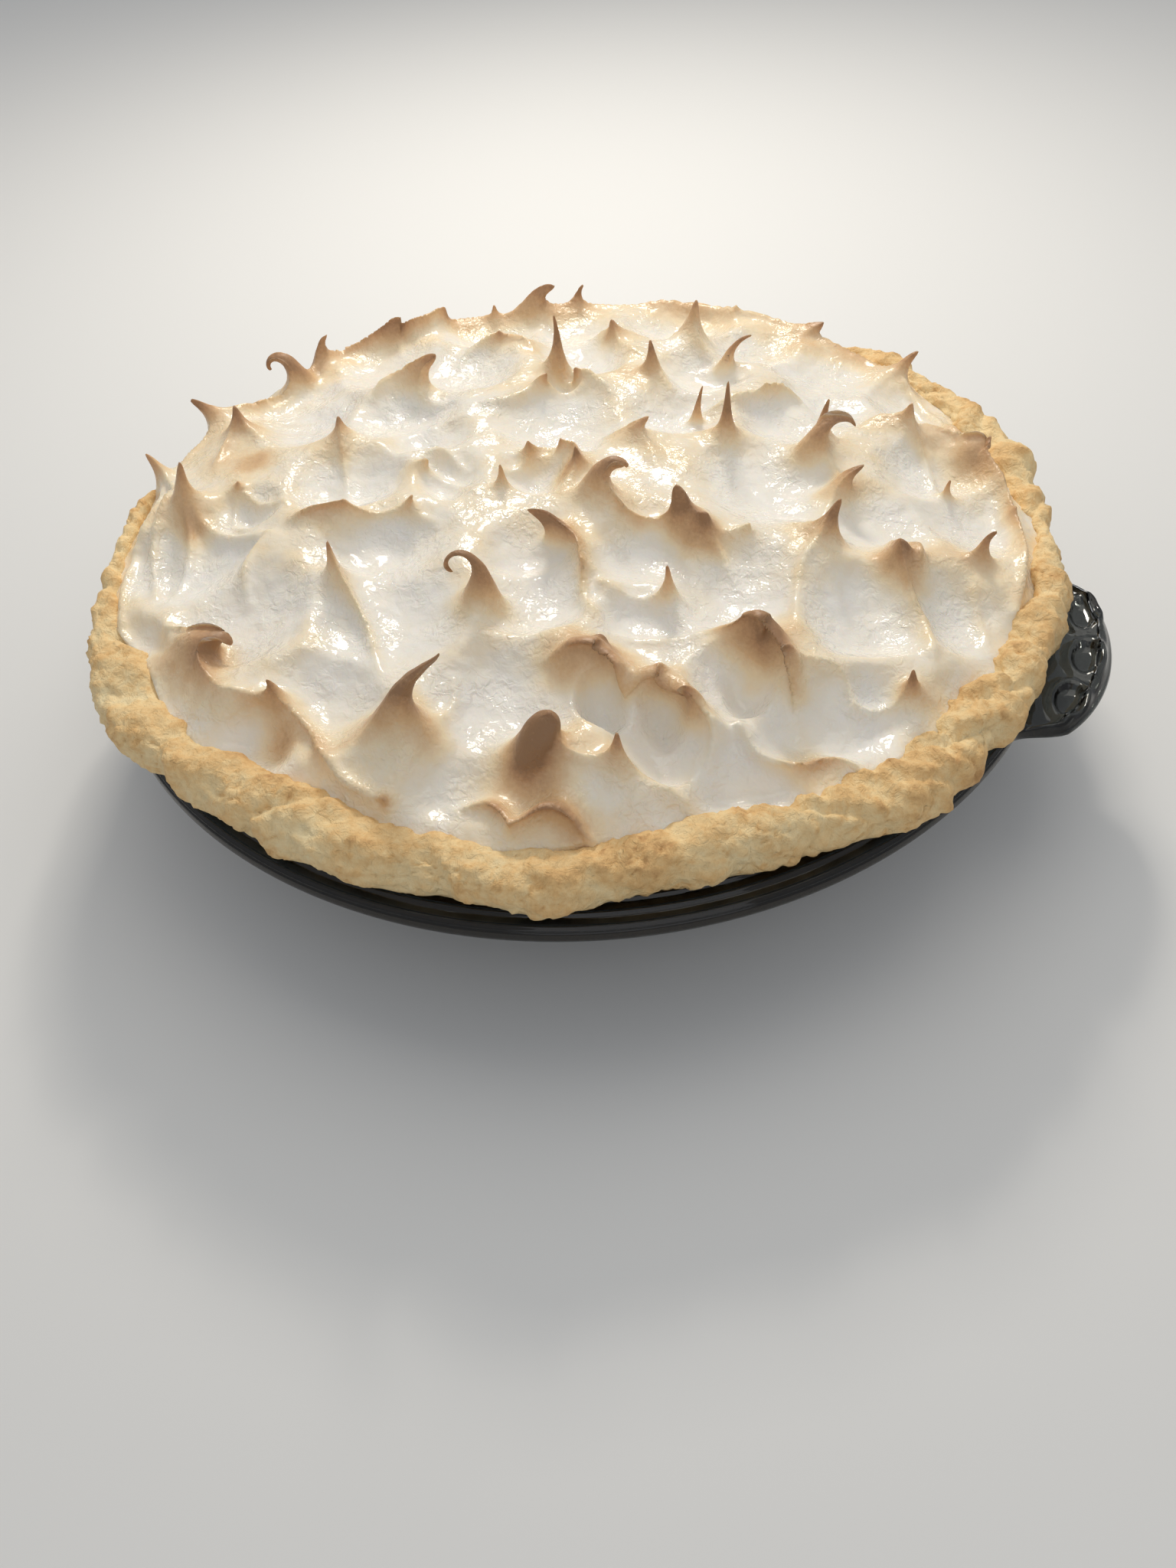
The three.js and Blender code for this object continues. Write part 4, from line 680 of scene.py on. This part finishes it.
def make_crust(material):
    turns = np.arange(CRUST_TURNS) / CRUST_TURNS * 2 * math.pi
    sections = np.array([crust_section(np.float64(azimuth)) for azimuth in turns])
    radius, height = sections[..., 0], sections[..., 1]
    azimuth = np.broadcast_to(turns[:, None], radius.shape)
    x, y = radius * np.cos(azimuth), radius * np.sin(azimuth)
    shown = smoothstep(height, CRUST_UNDERSIDE, CRUST_UNDERSIDE + 3) * smoothstep(radius, 100, 106)
    centre = (crust_reach(azimuth) + meringue_reach(azimuth)) / 2
    out = radius - centre
    up = height - (CRUST_UNDERSIDE + crust_crown(azimuth)) / 2
    length = np.hypot(out, up) + 1e-6
    lumps, flakes, crevice = crust_lumps(x, y, height, azimuth, out)
    push = lumps * shown
    radius = radius + push * out / length
    height = height + push * up / length
    points = np.stack([radius * np.cos(azimuth), radius * np.sin(azimuth), height], -1)
    piece = turned_piece("baked_crust", points, material)
    # Below the rim the pastry takes the darkest brown: partly its browner baked underside, partly painted
    # shade under the rim inside the dish.
    in_dish_shade = 1 - smoothstep(height, CRUST_UNDERSIDE - 3, CRUST_UNDERSIDE + 1)
    # Tops and flakes are browned; the crevices are darkened by painted shade.
    tone = BROWNED_TOPS * push + BROWNED_FLAKES * smoothstep(-flakes, 0.2, 0.8) + CREVICE_SHADE * crevice
    browned = in_dish_shade + (1 - in_dish_shade) * np.clip(tone, -0.2, 1)
    point_values(piece, "browned", np.append(browned[:, 1:-1].ravel(), (1.0, 0.0)))
    return piece


# ---------------------------------------------------------------- meringue

GRID_STEP = 2.0
PLAN_REACH = 130.0
OVERLAP_WITH_CRUST = 1.0
COARSE_EDGE = 1.9
FINE_EDGE = 0.8
FINE_FROM_LEVEL = 0.45  # share of its rise from which a peak needs fine faces
FINE_FROM_CREST = 4.5  # and height from which a ridge does
REFINE_ROUNDS = 9
PEAK_FOOT = 6.0  # a peak's flare has died away at this many girths from its axis
RIDGE_FOOT = 5.0  # and a ridge's at this many widths from its crest
LEVELS = np.linspace(0.0, 1.0, 241)
LEVEL_ROUNDS = 6  # rounds of the search for the level that a point reaches on a peak
CREST_ROUNDING = 0.2
HOLLOWS_FADE_FROM = 0.93  # share of the way out to the edge
SUNK_IN_CRUST = 0.5  # how far the meringue reaches into the pastry, so that no air shows between
SKIN_RELIEF = (0.3, 13.0)  # height and size
# How toasted the skin is, in shares that are added up
TOAST_BY_CREST = 0.01  # for each square mm of a crest's height
TOAST_BY_RISE = 0.85  # where a peak has risen by the next value
TOASTED_RISE = 15
TOAST_POWER = 0.95
TOAST_BY_TIP = 0.3  # at the tip of a peak
TOAST_BY_LIFT = 0.2  # where the skin lies high above the dome
TOAST_BACK_EDGE = 0.08
TOAST_PATCHES = (0.3, 32.0)  # strength and size
LEAST_RISE = 1.0  # what a peak adds at least above the crests that meet at its foot
SHORTEST_SPLIT = 0.01  # an edge shorter than this in plan isn't split


def wander(x, y):
    """Bends the plan a little, so that no rim runs straight."""
    return (
        x + 1.7 * np.sin(y / 11 + 0.5) + 0.8 * np.sin(y / 4.7 + x / 9),
        y + 1.7 * np.sin(x / 12 + 2) + 0.8 * np.sin(x / 5.1 - y / 8),
    )


def hollow_relief(x, y):
    """The lowest of all the pressed bowls at each point, with softly capped rims."""
    x, y = wander(x, y)
    total = np.full_like(x, math.exp(-RIM_CAP / RIM_SOFTNESS))
    for hx, hy, radius, depth in HOLLOWS:
        bowl = depth * (((x - hx) ** 2 + (y - hy) ** 2) / radius ** 2 - 1)
        total += np.exp(np.minimum(-bowl / RIM_SOFTNESS, 60))
    return -RIM_SOFTNESS * np.log(total)


def smooth_dome(x, y):
    out = np.clip(np.hypot(x, y) / meringue_reach(np.arctan2(y, x)), 0, 1)
    return MERINGUE_EDGE + MERINGUE_CROWN * (1 - out ** DOME_FLATNESS), out


def dome_height(x, y):
    dome, out = smooth_dome(x, y)
    return dome + hollow_relief(x, y) * (1 - smoothstep(out, HOLLOWS_FADE_FROM, 1.0))


def bend(curl, level, lateness=None):
    """How far an axis of unit length that curls over has gone out and up at a level, and its tilt."""
    lateness = lateness or CURL_LATENESS + CURL_LATENESS_PER_DEGREE * abs(curl)
    turn = math.radians(curl) * LEVELS ** lateness
    step = LEVELS[1]
    out = np.append(0.0, np.cumsum(np.sin(turn[1:]) + np.sin(turn[:-1])) * step / 2)
    up = np.append(0.0, np.cumsum(np.cos(turn[1:]) + np.cos(turn[:-1])) * step / 2)
    return np.interp(level, LEVELS, out), np.interp(level, LEVELS, up), math.radians(curl) * level ** lateness


def place_of(end):
    return np.array(PEAKS[end][:2] if isinstance(end, str) else end, dtype=float)


def ridge_shift(x, y):
    """How far the ridges move each point, and the height of their crests there."""
    shift = np.zeros((len(x), 3))
    total = np.zeros_like(x)
    for start, end, bow, heights, curl in RIDGES:
        start, end = place_of(start), place_of(end)
        along = end - start
        length = float(np.hypot(*along))
        along /= length
        aside = np.array([-along[1], along[0]])
        dx, dy = x - start[0], y - start[1]
        share = (dx * along[0] + dy * along[1]) / length
        inside = np.clip(share, 0, 1)
        off = dx * aside[0] + dy * aside[1] - bow * np.sin(math.pi * inside)
        beyond = (share - inside) * length
        away = np.sqrt(off ** 2 + beyond ** 2 + CREST_ROUNDING ** 2) - CREST_ROUNDING
        near = np.flatnonzero(away < RIDGE_FOOT * RIDGE_WIDTH)
        inside, off, away = inside[near], off[near], away[near]
        level = np.exp(-away / RIDGE_WIDTH)
        first, middle, last = heights
        at_first = first * (1 - inside) * (1 - 2 * inside)
        at_middle = middle * 4 * inside * (1 - inside)
        at_last = last * inside * (2 * inside - 1)
        crest = np.maximum(at_first + at_middle + at_last, 0)
        out, up, tilt = bend(curl, level)
        out = crest * out + off * level * (np.cos(tilt) - 1)
        up = crest * up - off * level * np.sin(tilt)
        weight = (crest * level) ** 3
        shift[near, 0] += weight * out * aside[0]
        shift[near, 1] += weight * out * aside[1]
        shift[near, 2] += weight * up
        total[near] += (crest * level) ** 4
    some = np.maximum(total, 1e-12)
    return shift / some[:, None] ** 0.75, total ** 0.25


def tip_radius_table(girth, core):
    flare = -np.log(np.maximum(LEVELS, 1e-4))
    return np.sqrt((girth * flare) ** 2 + core ** 2 * (1 - LEVELS ** 6))


def peak_shift(x, y, name, rise):
    """How far one peak moves each point, and the share of its rise that the point reaches."""
    px, py, _, girth, spread, toward, drawn, curl = PEAKS[name]
    lean = math.radians(toward)
    dx, dy = x - px, y - py
    a = dx * math.cos(lean) + dy * math.sin(lean)
    b = -dx * math.sin(lean) + dy * math.cos(lean)
    table = tip_radius_table(girth, CORES.get(name, CORE_SHARE * girth))
    level = np.zeros_like(x)
    for _ in range(LEVEL_ROUNDS):
        wide = 1 + (spread - 1) * (1 - level) ** 2
        level = np.interp(np.hypot(a / wide, b), table[::-1], LEVELS[::-1])
    out, up, tilt = bend(curl, level, HORNS.get(name))
    out = rise * out + drawn * level + a * (np.cos(tilt) - 1)
    up = rise * up - a * np.sin(tilt)
    return np.stack([out * math.cos(lean), out * math.sin(lean), up], -1), level


def peak_rises():
    """What each peak still adds above the crests that meet at its foot."""
    feet = np.array([peak[:2] for peak in PEAKS.values()], dtype=float)
    _, crest = ridge_shift(feet[:, 0], feet[:, 1])
    return {name: max(peak[2] - lift, LEAST_RISE) for (name, peak), lift in zip(PEAKS.items(), crest)}


PEAK_RISES = peak_rises()


def meringue_surface(x, y):
    """The finished surface over a point of the plan, how toasted it is, and where it needs fine faces."""
    shift, crest = ridge_shift(x, y)
    points = np.stack([x, y, dome_height(x, y)], -1) + shift
    toast = TOAST_BY_CREST * crest ** 2
    for bx, by, radius, share in BROWNED:
        toast += share * np.exp(-((x - bx) ** 2 + (y - by) ** 2) / radius ** 2)
    fine = crest > FINE_FROM_CREST
    for name, peak in PEAKS.items():
        px, py, _, girth, spread = peak[:5]
        rise = PEAK_RISES[name]
        near = np.flatnonzero(np.hypot(x - px, y - py) < PEAK_FOOT * girth * spread)
        shift, level = peak_shift(x[near], y[near], name, rise)
        points[near] += shift
        risen = (level * rise / TOASTED_RISE) ** TOAST_POWER
        toast[near] += TOAST_BY_RISE * risen + TOAST_BY_TIP * level ** 2
        fine[near] |= level > FINE_FROM_LEVEL
    return points, toast, fine


def plan_grid():
    """A grid of triangles over the plan of the meringue."""
    rows = []
    row_step = GRID_STEP * math.sqrt(3) / 2
    count = int(2 * PLAN_REACH / row_step)
    for j in range(count):
        y = -PLAN_REACH + j * row_step
        rows.append((y, 0.5 * GRID_STEP * (j % 2)))
    wide = int(2 * PLAN_REACH / GRID_STEP)
    x = np.array([[-PLAN_REACH + i * GRID_STEP + shift for i in range(wide)] for _, shift in rows])
    y = np.array([[row] * wide for row, _ in rows])
    faces = []
    for j in range(count - 1):
        for i in range(wide - 1):
            a, b = j * wide + i, j * wide + i + 1
            c, d = a + wide, b + wide
            faces.extend(((a, b, d), (a, d, c)) if j % 2 else ((a, b, c), (b, d, c)))
    faces = np.array(faces)
    x, y = x.ravel(), y.ravel()
    reach = meringue_reach(np.arctan2(y, x)) + OVERLAP_WITH_CRUST
    inside = np.hypot(x, y) < reach
    faces = faces[inside[faces].all(axis=1)]
    used, faces = np.unique(faces, return_inverse=True)
    plan, faces = np.stack([x[used], y[used]], -1), faces.reshape(-1, 3)
    edge = sorted({a for a, _ in open_edges(faces)})
    azimuth = np.arctan2(plan[edge, 1], plan[edge, 0])
    reach = meringue_reach(azimuth) + OVERLAP_WITH_CRUST
    plan[edge] = np.stack([reach * np.cos(azimuth), reach * np.sin(azimuth)], -1)
    return plan, faces


def open_edges(faces):
    """The edges that belong to one face only, each in the direction of that face."""
    edges = np.vstack([faces[:, [0, 1]], faces[:, [1, 2]], faces[:, [2, 0]]])
    seen = {tuple(edge) for edge in edges.tolist()}
    return [(a, b) for a, b in seen if (b, a) not in seen]


def refine(plan, faces):
    """Splits edges until each is short enough on the finished surface."""
    points, _, fine = meringue_surface(plan[:, 0], plan[:, 1])
    for _ in range(REFINE_ROUNDS):
        corners = np.vstack([faces[:, [0, 1]], faces[:, [1, 2]], faces[:, [2, 0]]])
        corners.sort(axis=1)
        edges, where = np.unique(corners, axis=0, return_inverse=True)
        where = where.reshape(3, -1).T
        length = np.linalg.norm(points[edges[:, 0]] - points[edges[:, 1]], axis=1)
        limit = np.where(fine[edges].any(axis=1), FINE_EDGE, COARSE_EDGE)
        split = length > limit
        flat = np.linalg.norm(plan[edges[:, 0]] - plan[edges[:, 1]], axis=1)
        split &= flat > SHORTEST_SPLIT
        if not split.any():
            break
        middle = np.full(len(edges), -1)
        middle[split] = len(plan) + np.arange(split.sum())
        added = plan[edges[split]].mean(axis=1)
        added_points, _, added_fine = meringue_surface(added[:, 0], added[:, 1])
        plan = np.vstack([plan, added])
        points = np.vstack([points, added_points])
        fine = np.concatenate([fine, added_fine])
        faces = split_faces(faces, middle[where])
    return plan, faces


def split_faces(faces, middle):
    """Each triangle cut into two, three or four by the middles of its split edges (-1: not split)."""
    cut = middle >= 0
    number = cut.sum(axis=1)
    out = [faces[number == 0]]
    for first in range(3):
        order = [first, (first + 1) % 3, (first + 2) % 3]
        a, b, c = faces[:, order].T
        ab, bc, ca = middle[:, order].T
        one = (number == 1) & cut[:, first]
        out += [np.stack(t, -1)[one] for t in ((a, ab, c), (ab, b, c))]
        two = (number == 2) & ~cut[:, order[2]]
        out += [np.stack(t, -1)[two] for t in ((ab, b, bc), (a, ab, bc), (a, bc, c))]
    a, b, c = faces[number == 3].T
    ab, bc, ca = middle[number == 3].T
    out += [np.stack(t, -1) for t in ((a, ab, ca), (ab, b, bc), (ca, bc, c), (ab, bc, ca))]
    return np.vstack(out)


def make_meringue(material):
    plan, faces = refine(*plan_grid())
    points, toast, _ = meringue_surface(plan[:, 0], plan[:, 1])
    patches = waves(points[:, 0], points[:, 1], 0 * toast, TOAST_PATCHES[1], 21, 2)
    dome, out = smooth_dome(plan[:, 0], plan[:, 1])
    lifted = points[:, 2] - dome
    back_edge = smoothstep(out, 0.72, 0.97) * smoothstep(plan[:, 1], -70, 30)
    toast = toast + TOAST_BY_LIFT * smoothstep(lifted, -3.5, 4) + TOAST_BACK_EDGE * back_edge
    toast = toast * (1 + TOAST_PATCHES[0] * patches)
    points[:, 2] += SKIN_RELIEF[0] * waves(points[:, 0], points[:, 1], points[:, 2], SKIN_RELIEF[1], 11, 2)
    rim = open_edges(faces)
    top = len(points)
    rim_points = sorted({a for a, _ in rim})
    below = {a: top + k for k, a in enumerate(rim_points)}
    floor = points[rim_points].copy()
    floor[:, 2] = CRUST_BED - SUNK_IN_CRUST
    centre = np.array([[0, 0, CRUST_BED - SUNK_IN_CRUST]])
    verts = np.vstack([points, floor, centre])
    middle = len(verts) - 1
    walls = []
    for a, b in rim:
        walls += [(b, a, below[a]), (b, below[a], below[b]), (below[b], below[a], middle)]
    all_faces = faces.tolist() + walls
    piece = mesh_piece("toasted_meringue", verts, all_faces, material)
    values = np.zeros(len(verts))
    values[:top] = np.clip(toast, 0, 1)
    point_values(piece, "toast", values)
    return piece


# ---------------------------------------------------------------- camera, light and floor

# Places and sizes in metres, save for the floor's half width in millimetres
CAMERA_PLACE = (0.109, -0.249, 0.252)
CAMERA_AIM = (0.034, -0.080, 0.044)
CAMERA_ROLL = -3.9  # degrees
CAMERA_LENS = 27.05  # millimetres
LIT_PLACE = (0, 0, 0.05)  # all lights point here
# Area lights: (name, place, size, power in watts, colour)
LIGHTS = (
    ("key", (-0.20, 0.46, 0.50), 0.15, 1.75, (1.0, 0.93, 0.82)),
    ("sparkle", (-0.14, 0.46, 0.50), 0.05, 0.45, (1.0, 0.94, 0.85)),
    ("overhead", (0.0, 0.16, 0.55), 0.5, 0.75, (1.0, 0.96, 0.88)),
    ("fill", (0.5, -0.8, 0.9), 0.9, 1.2, (0.95, 0.97, 1.0)),
)
FLOOR_HALF_WIDTH = 3000.0


def add_camera():
    data = bpy.data.cameras.new("camera")
    data.lens = CAMERA_LENS
    data.clip_start = 0.01
    camera = bpy.data.objects.new("camera", data)
    bpy.context.collection.objects.link(camera)
    aim = Vector(CAMERA_AIM) - Vector(CAMERA_PLACE)
    roll = Matrix.Rotation(math.radians(CAMERA_ROLL), 4, "Z")
    turn = aim.to_track_quat("-Z", "Y").to_matrix().to_4x4() @ roll
    camera.matrix_world = Matrix.Translation(CAMERA_PLACE) @ turn
    bpy.context.scene.camera = camera


def add_area_light(name, place, size, power, colour):
    data = bpy.data.lights.new(name, "AREA")
    data.size = size
    data.energy = power
    data.color = colour
    light = bpy.data.objects.new(name, data)
    bpy.context.collection.objects.link(light)
    aim = Vector(LIT_PLACE) - Vector(place)
    light.matrix_world = Matrix.Translation(place) @ aim.to_track_quat("-Z", "Y").to_matrix().to_4x4()


def add_floor():
    shader = Shader("pale floor")
    material = shader.finish(**{"Base Color": (0.80, 0.80, 0.79, 1.0), "Roughness": 0.6})
    half = FLOOR_HALF_WIDTH
    corners = [(-half, -half, 0), (half, -half, 0), (half, half, 0), (-half, half, 0)]
    floor = mesh_piece("floor", corners, [(0, 1, 2, 3)], material, smooth=False)


def add_world():
    world = bpy.data.worlds.new("soft room")
    world.use_nodes = True
    background = world.node_tree.nodes["Background"]
    background.inputs["Color"].default_value = (0.95, 0.97, 1.0, 1.0)
    background.inputs["Strength"].default_value = 0.40
    bpy.context.scene.world = world


add_camera()
add_world()
add_floor()
for light in LIGHTS:
    add_area_light(*light)
bpy.context.scene.view_settings.view_transform = "Standard"

dish = make_dish(glass_finish())
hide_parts("pie_dish")
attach(dish, "root")

crust = make_crust(pastry_finish())
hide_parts("crust")
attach(crust, "root")

meringue = make_meringue(meringue_finish())
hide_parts("meringue")
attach(meringue, "root")
